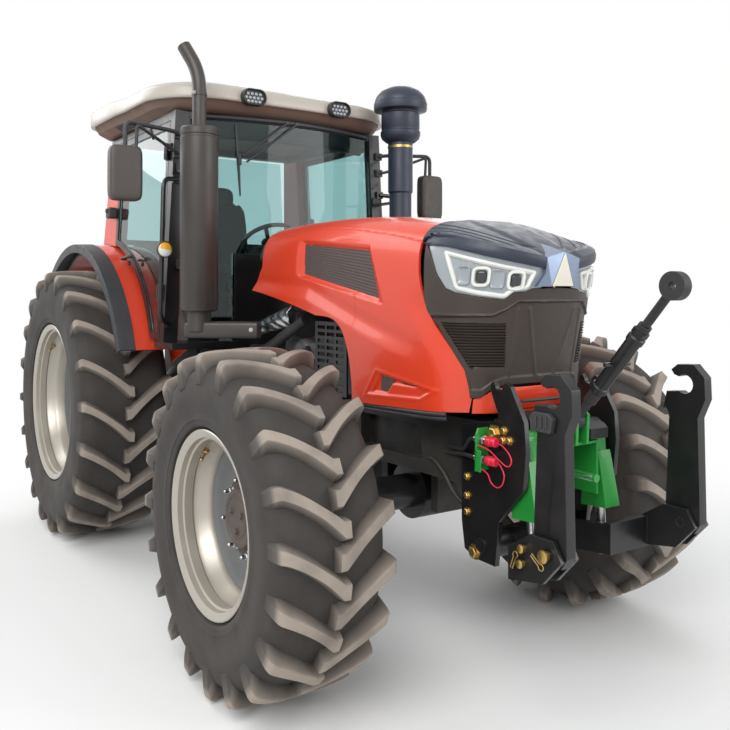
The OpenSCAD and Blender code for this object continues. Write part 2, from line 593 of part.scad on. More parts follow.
module seat() color(black) {
    box([380, -150, floor_z + seat_gap], [700, 150, 1845]);
    box([330, -250, 1841], [850, 250, 1960]);
    translate([350, 0, 1880]) rotate([0, -10, 0]) box([-110, -240, 0], [0, 240, 640]);
}
// Console with an arm rest beside the seat
module console() side_plate([[360, floor_z + seat_gap], [900, floor_z + seat_gap], [900, 1720], [850, 1880], [760, 1935],
    [640, 1960], [400, 1960], [360, 1920]], 25 - fender_wall_y, -300);
module controls() color(black) {
    side_plate([[1120, floor_z + seat_gap], [1320, floor_z + seat_gap], [1320, 1965], [1290, 2000], [1170, 2000], [1120, 1950]], -160, 160);
    translate([1150, 0, 1980]) rotate([0, -35, 0]) cylinder(r = 45, h = 130);
    console();
}
module steering_wheel() color(black) translate([1150, 0, 1980]) rotate([0, -35, 0]) translate([0, 0, 130 + seat_gap]) {
    rotate_extrude() translate([195, 20]) circle(r = 15);
    cylinder(r = 50, h = 30);
    for (a = [90, 210, 330]) rotate([0, 0, a]) box([40, -14, 12], [190, 14, 26]);
}

// Stacks

stack_x = 1600;
silencer_z = [1640, 2774];
module exhaust() color("#4a4743") translate([stack_x, -stack_y, 0]) {
    translate([0, 0, silencer_z[0]]) rotate_extrude() polygon(let (r = silencer_r, l = silencer_z[1] - silencer_z[0])
        [[0, 0], [r - 16, 0], [r - 4, 8], [r, 20], [r, l - 64], [r - 4, l - 60], [r - 4, l - 52], [r, l - 48], [r, l - 14], [r - 10, l], [0, l]]);
    // tailpipe, bent backwards and outwards at its top
    top = silencer_z[1] + seat_gap;
    pipe([[0, 0, top], [0, 0, top + 330], [-95, -60, top + 500]], tailpipe_r, 5, 110);
    translate([0, 0, 1520]) cylinder(r = 72, h = 121);
    rotate([0, 0, 50]) bar_x(0, 1565, 60, 0, 480);
    for (z = [1900, 2500]) box([a_post_x[1] + seat_gap - stack_x, -28, z], [-silencer_r + 20, 28, z + 40]);
}
module intake_stack() color("#3d3c3b") translate([stack_x, stack_y, 0]) {
    translate([0, 0, 1620]) cylinder(r = intake_r, h = 830);
    translate([0, 0, 2440]) cylinder(r = intake_r + 9, h = 420);
    translate([0, 0, 2850]) rotate_extrude() polygon([[0, 0], [118, 10], [135, 40], [135, 120], [122, 130], [122, 230],
        [184, 225], [186, 245], [150, 300], [80, 330], [0, 335]]);
    rotate([0, 0, -50]) bar_x(0, 1690, intake_r - 12, 0, 440);
    for (z = [1900, 2380]) box([a_post_x[1] + seat_gap - stack_x, -28, z], [-intake_r + 20, 28, z + 40]);
}

mirror_at = [1437, 1148, post_top_z - 372];
// A pad on the front post that carries a rail's end
module post_foot(y, z) box([a_post_x[1] + seat_gap, y - 25, z - 25], [a_post_x[1] + 20, y + 25, z + 25]);
mirror_size = [80, 210, 340];
module mirrors() color(black) both_sides() {
    translate([mirror_at[0] - mirror_size[0] / 2, mirror_at[1], mirror_at[2]]) rotate([90, 0, 90])
        linear_extrude(mirror_size[0]) polygon(round_rect(mirror_size[1], mirror_size[2], 45));
    for (p = [[770, post_top_z - 140], [775, post_top_z - 260]]) post_foot(p[0], p[1]);
    top = mirror_at[2] + mirror_size[2] / 2 + seat_gap;
    tube([[a_post_x[1] + 20 + seat_gap, 770, post_top_z - 140], [1360, 800, post_top_z - 135], [mirror_at[0], mirror_at[1], post_top_z - 120], [mirror_at[0], mirror_at[1], top]], 13);
    tube([[a_post_x[1] + 20 + seat_gap, 775, post_top_z - 260], [1350, 800, post_top_z - 258], [mirror_at[0] + 30, mirror_at[1] - 60, post_top_z - 140], [mirror_at[0] + 20, mirror_at[1] - 60, top]], 10, 26);
}
module handrails() color(black) both_sides() {
    for (p = [[780, post_top_z - 380], [822, floor_z + 120]]) post_foot(p[0], p[1]);
    tube([[a_post_x[1] + 20 + seat_gap, 780, post_top_z - 380], [1420, 905, post_top_z - 400], [1420, 925, floor_z + 150],
        [a_post_x[1] + 20 + seat_gap, 822, floor_z + 120]], 15);
}
module lamps() color("#c9a23a") both_sides() {
    // turn lamps beside the hand rails
    bar_x(917, 2010, 50, 1435 + seat_gap, 1490);
    // roof lamps, front and rear
    translate([roof_x[1] + seat_gap, 325, roof_z + 82]) rotate([90, 0, 90]) linear_extrude(46) polygon(round_rect(150, 76, 37));
    translate([roof_x[0] - 46 - seat_gap, 560, roof_z + 82]) rotate([90, 0, 90]) linear_extrude(46) polygon(round_rect(130, 76, 37));
}

// Hood

hood_x = [1640, fx + 860];
nose_x = fx + 430;
nose_l = hood_x[1] - nose_x;
nose_lean = 0.2;
nose_ref_z = 1790;
// Highest point of the crown, and where the lower edge drops ahead of the front wheels' tops
peak_x = fx - 560;
arch_x = [fx - 440, fx - 140];
// Half width, crown height and lower edge along the hood
function hood_w(x) = hood_half_w - 25 * pow(max(0, nose_x - x) / (nose_x - hood_x[0]), 2);
function hood_zt(x) = hood_top_z - 18 * pow(max(0, peak_x - x) / (peak_x - hood_x[0]), 2)
    - 75 * pow(max(0, x - peak_x) / (nose_x - peak_x), 2);
function hood_zs(x) = hood_zt(x) - 250;
function hood_zb(x) = x < arch_x[0] ? 1800 - 165 * pow(max(0, x - hood_x[0]) / (arch_x[0] - hood_x[0]), 1.3)
    : x < arch_x[1] ? 1635 - 420 * (0.5 - 0.5 * cos(180 * (x - arch_x[0]) / (arch_x[1] - arch_x[0])))
    : 1215 + 30 * (x - arch_x[1]) / (hood_x[1] - arch_x[1] - 100);
// Half width of the nose in plan, ahead of nose_x
function nose_w(x, d) = (hood_half_w - d) * pow(max(0, 1 - pow(max(0, x - nose_x) / (nose_l - d), 2.5)), 0.4);
// Lean of the nose: it falls back below the lamps
function leaned(x, z) = x + (x < nose_x ? 0 : nose_lean * (x - nose_x) / nose_l * (z - nose_ref_z));

// A closed panel between an outer and an inner grid of points; rows run forwards, columns from right to left
function grid_id(n, m, s, i, j) = (s * n + i) * m + j;
module skin(outer, inner) {
    n = len(outer);
    m = len(outer[0]);
    polyhedron(convexity = 8, points = concat([for (r = outer) each r], [for (r = inner) each r]), faces = concat(
        [for (i = [0 : n - 2], j = [0 : m - 2], k = [0, 1]) let (a = grid_id(n, m, 0, i, j)) k == 0 ? [a, a + 1, a + m + 1] : [a, a + m + 1, a + m]],
        [for (i = [0 : n - 2], j = [0 : m - 2], k = [0, 1]) let (a = grid_id(n, m, 1, i, j)) k == 0 ? [a, a + m + 1, a + 1] : [a, a + m, a + m + 1]],
        [for (i = [0 : n - 2], k = [0, 1]) let (a = grid_id(n, m, 0, i, 0), b = grid_id(n, m, 1, i, 0)) k == 0 ? [a, a + m, b + m] : [a, b + m, b]],
        [for (i = [0 : n - 2], k = [0, 1]) let (a = grid_id(n, m, 0, i, m - 1), b = grid_id(n, m, 1, i, m - 1)) k == 0 ? [a + m, a, b] : [a + m, b, b + m]],
        [for (j = [0 : m - 2], k = [0, 1]) let (a = grid_id(n, m, 0, 0, j), b = grid_id(n, m, 1, 0, j)) k == 0 ? [a + 1, a, b] : [a + 1, b, b + 1]],
        [for (j = [0 : m - 2], k = [0, 1]) let (a = grid_id(n, m, 0, n - 1, j), b = grid_id(n, m, 1, n - 1, j)) k == 0 ? [a, a + 1, b + 1] : [a, b + 1, b]]));
}

// Front edge of the painted side, from its low front corner (f = 0) up to the cap (f = 1)
hood_edge = [for (e = [[0, 0.814, 1246], [0.22, 0.814, 1350], [0.4, 0.698, 1440], [0.6, 0.349, 1570], [0.75, 0.128, 1660],
    [0.85, 0.042, 1745], [1, 0, 1846]]) [e[0], nose_x + nose_l * e[1], e[2]]];
function edge_x(f) = lookup(f, [for (e = hood_edge) [e[0], e[1]]]);
function edge_z(f) = lookup(f, [for (e = hood_edge) [e[0], e[2]]]);
side_rows = [0, 0.11, 0.22, 0.31, 0.4, 0.5, 0.6, 0.68, 0.75, 0.85, 1];
crown_rows = concat([7], [for (t = [15 : 15 : 165]) t], [173]);
hood_steps = [for (i = [0 : 9]) 0.047 * i, for (i = [0 : 8]) 0.47 + 0.025 * i, for (i = [1 : 6]) 0.67 + 0.055 * i];
// A point of the hood's side (s = -1 right, 1 left) at length u and height f
function side_point(s, u, f, d) = let (x = hood_x[0] + (edge_x(f) - hood_x[0]) * u, z0 = hood_zb(x) + f * (hood_zs(x) - hood_zb(x)),
        z = z0 + (edge_z(f) - z0) * pow(u, 5))
    [leaned(x, z), s * (x < nose_x ? hood_w(x) - d : nose_w(x, d)), z];
// A point of the hood's crown at length u and angle t
function crown_point(x, t, d) = let (zs = hood_zs(x), zt = hood_zt(x) - d, w = hood_w(x) - d)
    [x, -w * sign(cos(t)) * pow(abs(cos(t)), 0.5), zs + (zt - zs) * pow(sin(t), 0.62)];
function hood_row(u, d) = concat([for (f = side_rows) side_point(-1, u, f, d)],
    [for (t = crown_rows) crown_point(hood_x[0] + (nose_x - hood_x[0]) * u, t, d)],
    [for (i = [len(side_rows) - 1 : -1 : 0]) side_point(1, u, side_rows[i], d)]);
// Hinge of the hood: lugs under its crown turn on a pin that posts on the engine carry
hood_hinge = [1720, 2050];
hinge_pin_r = 14;
module hood() color(red) {
    skin([for (u = hood_steps) hood_row(u, 0)], [for (u = hood_steps) hood_row(u, hood_wall)]);
    both_sides() difference() {
        union() {
            bar_y(hood_hinge[0], hood_hinge[1], 28, 150, 170);
            box([hood_hinge[0] - 28, 150, hood_hinge[1]], [hood_hinge[0] + 28, 170, 2126]);
        }
        bar_y(hood_hinge[0], hood_hinge[1], hinge_pin_r + run_gap, 140, 180);
    }
}

// Where the hood's side or crown is, at a length and a height
function hood_face(x, z) = let (q = (z - hood_zs(x)) / (hood_zt(x) - hood_zs(x)))
    hood_w(x) * (q <= 0 ? 1 : pow(cos(asin(min(1, pow(q, 1 / 0.62)))), 0.5));
// Corners of the upper vent, from its rear top round to its front top, and outline of the lower one, from the front axle
vent = [[-613, 2027], [-613, 1855], [110, 1724], [23, 1963]];
low_vent = [[167, 1373], [419, 1342], [290, 1332], [215, 1290], [92, 1284]];
vent_slats = 6;
module hood_vents() color(black) both_sides() {
    at = function (u, v, d) let (q = (1 - u) * ((1 - v) * vent[0] + v * vent[1]) + u * ((1 - v) * vent[3] + v * vent[2]), x = fx + q[0])
        [x, hood_face(x, q[1]) + d, q[1]];
    cols = [0 : 2 * vent_slats];
    steps = [for (i = [0 : 6]) i / 6];
    skin([for (u = steps) [for (k = cols) at(u, k / (2 * vent_slats), 2 + 4 * (k % 2))]],
        [for (u = steps) [for (k = cols) at(u, k / (2 * vent_slats), seat_gap)]]);
    side_plate([for (q = low_vent) [fx + q[0], q[1]]], hood_half_w + seat_gap, hood_half_w + 5);
}

// Nose: a wall that follows the plan curve, between a lower and an upper edge
panel_gap = 4;
// Plan position a: -90 is the right side, 0 the middle, 90 the left side
function plan_x(a) = nose_x + nose_l * pow(max(0, cos(a)), 0.8);
// The crown's roundness, carried on along the nose
function shoulder(z) = let (q = (z - hood_zs(nose_x)) / (hood_zt(nose_x) - hood_zs(nose_x)))
    q <= 0 ? 1 : pow(cos(asin(min(1, pow(q, 1 / 0.62)))), 0.5);
// Heights along the nose, from its start (0) to its tip (1): the cap's edge, the lamps' and the grille's lower edge
nose_t = function (x) (x - nose_x) / nose_l;
cap_z = function (x) lookup(nose_t(x), [[0, 1988], [0.488, 1950], [0.721, 1912], [1, 1850]]);
lamp_z = function (x) lookup(nose_t(x), [[0, 1960], [0.093, 1870], [0.256, 1780], [0.535, 1722], [0.814, 1738], [1, 1785]]);
grille_z = function (x) lamp_z(x) - panel_gap;
low_z = function (x) lookup(nose_t(x), [[0, 1846], [0.042, 1770], [0.128, 1685], [0.349, 1595], [0.698, 1478], [0.814, 1385],
    [0.93, 1362], [1, 1360]]);
function nose_point(a, z, d) = let (x = plan_x(a))
    [leaned(x, z) - d * pow(max(0, cos(a)), 0.8), sign(a) * nose_w(x, 0) * shoulder(z) * (1 - d / hood_half_w), z];
function nose_grid(as, lo, hi, rows, d) = [for (k = [0 : rows]) [for (a = as) let (x = plan_x(a)) nose_point(a, hi(x) + (lo(x) - hi(x)) * k / rows, d)]];
module nose_wall(as, lo, hi, rows, d0, d1) skin(nose_grid(as, lo, hi, rows, d0), nose_grid(as, lo, hi, rows, d1));

cap_cols = [24, 38, 53, 60, 67, 76, 84, 96, 104, 113, 120, 127, 142, 156];
// A point of the cap: from the hood's crown (q = 0) down to the lamps' top edge (q = 1)
function cap_point(t, q, d) = let (r = crown_point(nose_x, t, 0), e = nose_point((t - 90) * 66 / 66, cap_z(plan_x(t - 90)), 0),
        c = [r[0] + 0.72 * (e[0] - r[0]), (r[1] + e[1]) / 2, r[2] - 18])
    pow(1 - q, 2) * r + 2 * q * (1 - q) * c + q * q * e - [0, 0, d - cap_rise(t) * (0.35 + 0.65 * sin(180 * q))];
// Height of the cap's spine and of the ridge on each side of it
function cap_rise(t) = lookup(abs(t - 90), [[0, 14], [6, 14], [14, 0], [24, 0], [30, 10], [37, 0], [66, 0]]);
module hood_cap() color(black) translate([seat_gap, 0, 0]) skin([for (k = [0 : 6]) [for (t = cap_cols) cap_point(t, k / 6, 0)]],
    [for (k = [0 : 6]) [for (t = cap_cols) cap_point(t, k / 6, hood_wall)]]);
lamp_cols = [86, 80, 70, 60, 50, 40, 30, 20, 9];
grille_cols = concat([-88], [for (a = lamp_cols) -a], [-4, 0, 4], [for (i = [len(lamp_cols) - 1 : -1 : 0]) lamp_cols[i]], [88]);
grille_slats = 10;
slat_relief = 8;
// Depth of the grille's face: louvres outside the middle field, whose edges are raised
function grille_depth(a, k) = abs(a) > 26 ? 10 + slat_relief * (k % 2) : abs(a) > 14 ? 4 : 10;
module grille() color("#3b3431") skin(
    [for (k = [0 : 2 * grille_slats]) [for (a = grille_cols) let (x = plan_x(a))
        nose_point(a, grille_z(x) + (low_z(x) - grille_z(x)) * k / (2 * grille_slats), grille_depth(a, k))]],
    [for (k = [0 : 2 * grille_slats]) [for (a = grille_cols) let (x = plan_x(a))
        nose_point(a, grille_z(x) + (low_z(x) - grille_z(x)) * k / (2 * grille_slats), 18 + hood_wall)]]);
lamp_top = function (x) cap_z(x) - hood_wall - seat_gap;
module headlamps() color("#dfe2e4") {
    nose_wall([for (a = lamp_cols) -a], lamp_z, lamp_top, 3, 2, 60);
    nose_wall([for (i = [len(lamp_cols) - 1 : -1 : 0]) lamp_cols[i]], lamp_z, lamp_top, 3, 2, 60);
    both_sides() for (a = projector_a) let (z = projector_z(plan_x(a)), f = nose_point(a, z, 0), n = nose_normal(a, z))
        translate(f) rotate([0, 0, atan2(n[1], n[0])]) rotate([0, 90, 0]) translate([0, 0, -40]) cylinder(r = projector_r, h = 46);
}
projector_a = [30, 50];
projector_r = 34;
projector_z = function (x) (lamp_z(x) + lamp_top(x)) / 2 - 8;
// Direction in plan that the nose faces at a position
function nose_normal(a, z) = let (t = unit(nose_point(a + 3, z, 0) - nose_point(a - 3, z, 0))) [t[1], -t[0]];
module nose_trim() color(steel) nose_wall([-8.5, -4, 0, 4, 8.5], lamp_z, lamp_top, 3, -4, 50);
// Where the nose's outer face is, at a distance y from the middle
function nose_face_x(y, z) = leaned(nose_x + nose_l * pow(1 - pow(y / hood_half_w, 2.5), 0.4), z);
panel_z = [1240, 1350];
panel_low = function (x) panel_z[0];
panel_high = function (x) panel_z[1];
module front_panel() {
    color(red) {
        nose_wall([for (a = [-30 : 6 : 30]) a], panel_low, panel_high, 2, 0, 40);
    }
    color(black) {
        for (y = [-130, 130]) bar_x(y, 1296, 8, nose_face_x(130, 1296) + seat_gap, hood_x[1] - 60);
        bar_y(hood_x[1] - 60, 1296, 10, -145, 145);
    }
}

// Front linkage

plate_y = [frame_half_w + seat_gap, frame_half_w + 24];
module hitch_frame() color(black) both_sides() {
    difference() {
        side_plate([for (q = concat([[560, 760], [580, 640], [640, 612], [770, 610], [790, 800], [930, 960], [945, 1120], [935, 1235],
                [856, 1372], [828, 1388], [812, 1372]], arc([791, 1368], 21, 0, -180, 8), [[756, 1388], [740, 1368], [746, 1335],
                [800, 1225], [560, 1180]])) [fx + q[0], q[1]]], plate_y[0], plate_y[1]);
        bar_y(fx + link_pivot[0], link_pivot[1], 30 + run_gap, 200, 300);
    }
    bar_y(cylinder_head[0], cylinder_head[1], 15, cylinder_y - 45, plate_y[0] + 1);
    // cross beam on the guard's back plate, and a cover on each side of the top link
    box([fx + 742, -1, guard_z + seat_gap], [fx + 786, plate_y[0] + 1, guard_z + 44]);
    side_plate([[fx + 780, guard_z + 4], [fx + 860, guard_z + 4], [fx + 940, 1142], [fx + 985, 1142], [fx + 985, 1185], [fx + 930, 1222],
        [fx + 780, guard_z + 44]], 52, 160);
}
guard_z = 1180;
module pto_guard() color(green) {
    box([fx + 720, -frame_half_w, 960], [fx + 745, frame_half_w, guard_z]);
    difference() {
        box([fx + 744, -130, 900], [fx + 960, 130, 1130]);
        box([fx + 760, -118, 890], [fx + 961, 118, 1118]);
    }
    bar_x(0, 1000, 45, fx + 744, fx + 900);
    bar_x(0, 1000, pto_r, fx + 899, fx + 1060);
    both_sides() side_plate([[fx + 744, 1125], [fx + 985, 1125], [fx + 990, 1250], [fx + 965, 1272], [fx + 920, 1272], [fx + 800, 1170], [fx + 744, 1160]], 26, 40);
    bar_y(fx + top_pin[0], top_pin[1], 14, -52, 52);
}
module couplers() color(green) translate([fx + 720, -plate_y[1] - seat_gap, 0]) {
    box([0, -70, 1010], [10, 0, 1190]);
    for (z = [1060, 1140]) bar_x(-40, z, 20, 10, 100);
}

// Pieces of the front lift
module lift_arms() color(black) difference() {
    union() {
        bar_y(fx + link_pivot[0], link_pivot[1], 62, -262, 262);
        bar_y(fx + link_pivot[0], link_pivot[1], 30, -300, 300);
        both_sides() {
            side_plate([[fx + link_pivot[0], link_pivot[1] - 60], [fx + 1040, 660], [fx + 1040, 790], [fx + link_pivot[0], link_pivot[1] + 60]], 110, 145);
            bar_y(cylinder_foot[0], cylinder_foot[1], 13, 140, cylinder_y + 26);
            for (y = [hook_span / 2 - 48, hook_span / 2 + 28])
                side_plate([[fx + 1010, 660], [fx + 1180, 690], [fx + 1270, 790], [fx + 1230, 860], [fx + 1120, 860], [fx + 1010, 790]], y, y + 20);
            box([fx + 1005, 110, 660], [fx + 1040, hook_span / 2 + 48, 790]);
        }
    }
    both_sides() bar_y(fx + claw_pin[0], claw_pin[1], 18 + run_gap, 300, 500);
}
module claw(s) color(black) on_side(s) {
    bar_y(fx + claw_pin[0], claw_pin[1], 18, hook_span / 2 - 48, hook_span / 2 + 48);
    side_plate([for (q = concat([[1112, 800], [1140, 758], [1250, 758], [1276, 800], [1266, 1240], [1300, 1320], [1296, 1410], [1246, 1462],
            [1172, 1458], [1142, 1434], [1156, 1414]], arc([1204, 1376], 40, 130, -130, 12), [[1120, 1340], [1108, 1290], [1132, 1240]]))
        [fx + q[0], q[1]]], hook_span / 2 - 24, hook_span / 2 + 24);
}
cylinder_y = 212;
cylinder_foot = [fx + 915, 660];
cylinder_head = [fx + cylinder_top[0], cylinder_top[1]];
cylinder_l = norm(cylinder_foot - cylinder_head);
cylinder_a = atan2(cylinder_foot[0] - cylinder_head[0], cylinder_head[1] - cylinder_foot[1]);
// Children hang along -Z from the cylinder's upper pin
module on_cylinder() both_sides() translate([cylinder_head[0], cylinder_y, cylinder_head[1]]) rotate([0, -cylinder_a, 0]) children();
module lift_barrels() color(green) on_cylinder() difference() {
    union() {
        translate([0, 0, -310]) cylinder(r = 38, h = 310);
        // folded shroud, wider towards its foot
        loft([for (q = [[68, 46, -322], [38, 40, -82]]) [for (c = [[1, 1], [-1, 1], [-1, -1], [1, -1]]) [c[0] * q[0], c[1] * q[1], q[2]]]]);
        rotate([90, 0, 0]) cylinder(r = 40, h = 60, center = true);
    }
    translate([0, 0, -323]) cylinder(r = 20 + run_gap, h = 282);
    rotate([90, 0, 0]) cylinder(r = 15 + run_gap, h = 80, center = true);
}
module lift_rods() color(steel) on_cylinder() difference() {
    union() {
        translate([0, 0, -cylinder_l + 30]) cylinder(r = 20, h = cylinder_l - 30 - 110);
        translate([0, 0, -cylinder_l]) rotate([90, 0, 0]) cylinder(r = 42, h = 36, center = true);
    }
    translate([0, 0, -cylinder_l]) rotate([90, 0, 0]) cylinder(r = 25, h = 60, center = true);
}
module top_link() color(iron) translate([fx + top_pin[0], 0, top_pin[1]]) rotate([0, -top_link_angle, 0]) difference() {
    union() {
        rotate([90, 0, 0]) cylinder(r = 40, h = 36, center = true);
        bar_x(0, 0, 18, 30, top_link_l - 30);
        bar_x(0, 0, 27, 120, top_link_l - 200);
        translate([top_link_l, 0, 0]) rotate([90, 0, 0]) cylinder(r = eye_r, h = 44, center = true);
    }
    translate([top_link_l, 0, 0]) rotate([90, 0, 0]) cylinder(r = eye_bore_r, h = 60, center = true);
    rotate([90, 0, 0]) cylinder(r = 14 + run_gap, h = 60, center = true);
}

// Rear linkage

link_y = fender_wall_y - 115;
lift_pin = [-180, 1360];
lift_arm_l = 400;
lift_arm_a = 190;
rod_y = [link_y + 30, link_y + 60];
rod_on_link = 420;
lift_arm_end = lift_pin + lift_arm_l * [cos(lift_arm_a), sin(lift_arm_a)];
rod_foot = lower_pin + rod_on_link * [-cos(lower_link_angle), sin(lower_link_angle)];
rod_l = norm(rod_foot - lift_arm_end);
rod_a = atan2(rod_foot[0] - lift_arm_end[0], lift_arm_end[1] - rod_foot[1]);
module rear_links() color(iron) both_sides() translate([lower_pin[0], link_y, lower_pin[1]]) rotate([0, lower_link_angle, 0]) difference() {
    union() {
        box([-lower_link_l, -16, -38], [0, 16, 38]);
        rotate([90, 0, 0]) cylinder(r = 50, h = 50, center = true);
        translate([-lower_link_l, 0, 0]) rotate([90, 0, 0]) cylinder(r = link_eye_r, h = 45, center = true);
        bar_y(-rod_on_link, 0, 13, 10, rod_y[1] - link_y + 6);
    }
    translate([-lower_link_l, 0, 0]) rotate([90, 0, 0]) cylinder(r = link_bore_r, h = 80, center = true);
    rotate([90, 0, 0]) cylinder(r = 20 + run_gap, h = 80, center = true);
}
module rear_lift_arms() color(iron) {
    bar_y(lift_pin[0], lift_pin[1], 45, -link_y - 25, link_y + 25);
    both_sides() translate([lift_pin[0], link_y, lift_pin[1]]) rotate([0, -lift_arm_a, 0]) {
        box([0, -22, -40], [lift_arm_l, 22, 40]);
        translate([lift_arm_l, 0, 0]) rotate([90, 0, 0]) cylinder(r = 42, h = 44, center = true);
        bar_y(lift_arm_l, 0, 15, 10, rod_y[1] - link_y + 6);
    }
}
module rear_lift_rods() color(iron) both_sides() {
    translate([lift_arm_end[0], 0, lift_arm_end[1]]) rotate([0, -rod_a, 0]) difference() {
        union() {
            translate([0, (rod_y[0] + rod_y[1]) / 2, -rod_l]) cylinder(r = 20, h = rod_l);
            bar_y(0, 0, 36, rod_y[0], rod_y[1]);
            bar_y(0, -rod_l, 42, rod_y[0], rod_y[1]);
        }
        bar_y(0, 0, 15 + run_gap, rod_y[0] - 20, rod_y[1] + 20);
        bar_y(0, -rod_l, 25, rod_y[0] - 20, rod_y[1] + 20);
    }
}
module drawbar() color(iron) difference() {
    union() {
        box([-1000, -45, 430], [-200, 45, 470]);
        box([-290, -80, 430], [-210, 80, 640 - seat_gap]);
    }
    translate([-940, 0, 400]) cylinder(r = drawbar_bore_r, h = 100);
}

// One line draws each node
place() front_frame();
place() radiator();
place() engine();
place() engine_screens();
place() gearbox();
place() rear_axle();
place() front_axle();
place() fuel_tank();
place() steps();
place() cab_frame();
place() rear_posts();
place() roof();
place() windscreen();
place() rear_window();
place() fenders();
place() fender_flares();
place() seat();
place() controls();
place() steering_wheel();
place() exhaust();
place() intake_stack();
place() mirrors();
place() handrails();
place() lamps();
place() front_panel();
place() hitch_frame();
place() pto_guard();
place() couplers();
place() drawbar();
place() knuckle(-1);  // knuckle_right
place() knuckle(1);  // knuckle_left
place() steering_rod();
place() rim_front(-1);  // rim_front_right
place() tyre_front(-1);  // tyre_front_right
place() rim_front(1);  // rim_front_left
place() tyre_front(1);  // tyre_front_left
place() rim_rear(-1);  // rim_rear_right
place() tyre_rear(-1);  // tyre_rear_right
place() rim_rear(1);  // rim_rear_left
place() tyre_rear(1);  // tyre_rear_left
place() hood();
place() hood_vents();
place() hood_cap();
place() grille();
place() headlamps();
place() nose_trim();
place() door_frame(-1);  // door_frame_right
place() door_glass(-1);  // door_glass_right
place() door_frame(1);  // door_frame_left
place() door_glass(1);  // door_glass_left
place() lift_arms();
place() lift_barrels();
place() lift_rods();
place() top_link();
place() claw(-1);  // claw_right
place() claw(1);  // claw_left
place() rear_links();
place() rear_lift_arms();
place() rear_lift_rods();
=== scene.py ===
"""Looks of a four-wheel-drive farm tractor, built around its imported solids.

Metres. X points forwards, Y to the left, Z up. Lengths along the tractor count from the rear axle.
"""
from __future__ import annotations

import json
import logging
import math
from dataclasses import dataclass, field
from enum import Enum
from typing import Any, Callable, Iterable, Sequence

import bmesh
import bpy
import numpy as np
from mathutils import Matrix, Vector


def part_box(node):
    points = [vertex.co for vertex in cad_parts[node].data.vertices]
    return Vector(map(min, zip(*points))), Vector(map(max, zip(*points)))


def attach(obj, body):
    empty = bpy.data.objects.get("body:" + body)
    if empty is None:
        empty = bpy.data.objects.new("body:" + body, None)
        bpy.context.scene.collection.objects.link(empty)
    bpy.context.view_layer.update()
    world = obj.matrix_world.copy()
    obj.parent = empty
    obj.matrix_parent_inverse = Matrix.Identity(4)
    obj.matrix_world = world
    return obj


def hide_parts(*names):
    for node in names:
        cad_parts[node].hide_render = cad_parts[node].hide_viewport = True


LOG = logging.getLogger("tractor")
Array = np.ndarray
Point = Sequence[float]
Socket = bpy.types.NodeSocket

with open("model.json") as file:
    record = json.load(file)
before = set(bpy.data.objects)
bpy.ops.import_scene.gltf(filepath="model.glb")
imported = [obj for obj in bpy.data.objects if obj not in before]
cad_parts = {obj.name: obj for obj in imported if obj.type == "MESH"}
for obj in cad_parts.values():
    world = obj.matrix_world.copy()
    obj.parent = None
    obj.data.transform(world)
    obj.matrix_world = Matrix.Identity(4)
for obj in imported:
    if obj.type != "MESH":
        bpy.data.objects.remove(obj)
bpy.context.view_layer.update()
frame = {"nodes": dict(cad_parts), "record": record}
REAR_X = sum(c.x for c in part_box("tyre_rear_right")) / 2
FRONT_X = sum(c.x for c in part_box("tyre_front_right")) / 2
WHEELBASE = FRONT_X - REAR_X
SIDES = {"right": -1.0, "left": 1.0}
AHEAD, LEFT, UP = (1, 0, 0), (0, 1, 0), (0, 0, 1)


def placed(points: Array) -> Array:
    """Places counted from the rear axle, moved into the frame."""
    return points + np.array([REAR_X, 0.0, 0.0])


def at(*points: Point) -> Array:
    """Points counted from the rear axle, as an array in the frame."""
    return placed(np.asarray(points, float))


def spot(x: float, y: float, z: float) -> Array:
    """One place counted from the rear axle, in the frame."""
    return placed(np.array([x, y, z], float))


def heading(degrees: float) -> Array:
    """The level direction at an angle to the left of straight ahead."""
    a = math.radians(degrees)
    return np.array([math.cos(a), math.sin(a), 0.0])


def unit(v: Array) -> Array:
    """Directions scaled to a length of 1."""
    return v / np.linalg.norm(v, axis=-1, keepdims=True)


def around(count: int) -> Array:
    """Angles spaced evenly round a circle."""
    return np.linspace(0.0, 2 * np.pi, count, endpoint=False)


def winding(outline: Array) -> float:
    """Twice an outline's area, positive where it runs anticlockwise."""
    x, y = outline[:, 0], outline[:, 1]
    return float(np.sum(x * np.roll(y, -1) - np.roll(x, -1) * y))


# Shapes

@dataclass
class Shape:
    """Points and faces that become one mesh, with a worn value per point."""

    points: Array
    faces: list
    worn: Array | None = None

    def moved(self, *shift: float) -> Shape:
        """The same shape at another place."""
        return Shape(self.points + np.asarray(shift, float), self.faces, self.worn)

    def mirrored(self) -> Shape:
        """The mirror image across the tractor's middle, with its faces turned back outwards."""
        return Shape(self.points * [1.0, -1.0, 1.0], [tuple(f)[::-1] for f in self.faces], self.worn)

    def on_side(self, side: float) -> Shape:
        """The shape itself for the left side, or its mirror image for the right."""
        return self if side > 0 else self.mirrored()

    def both(self) -> Shape:
        """The shape and its mirror image."""
        return join(self, self.mirrored())


def join(*shapes: Shape) -> Shape:
    """Several shapes as one."""
    starts = np.cumsum([0] + [len(s.points) for s in shapes])
    faces = [tuple(int(i) + int(a) for i in f) for s, a in zip(shapes, starts) for f in s.faces]
    worn = np.concatenate([np.zeros(len(s.points)) if s.worn is None else s.worn for s in shapes])
    return Shape(np.concatenate([s.points for s in shapes]), faces, worn)


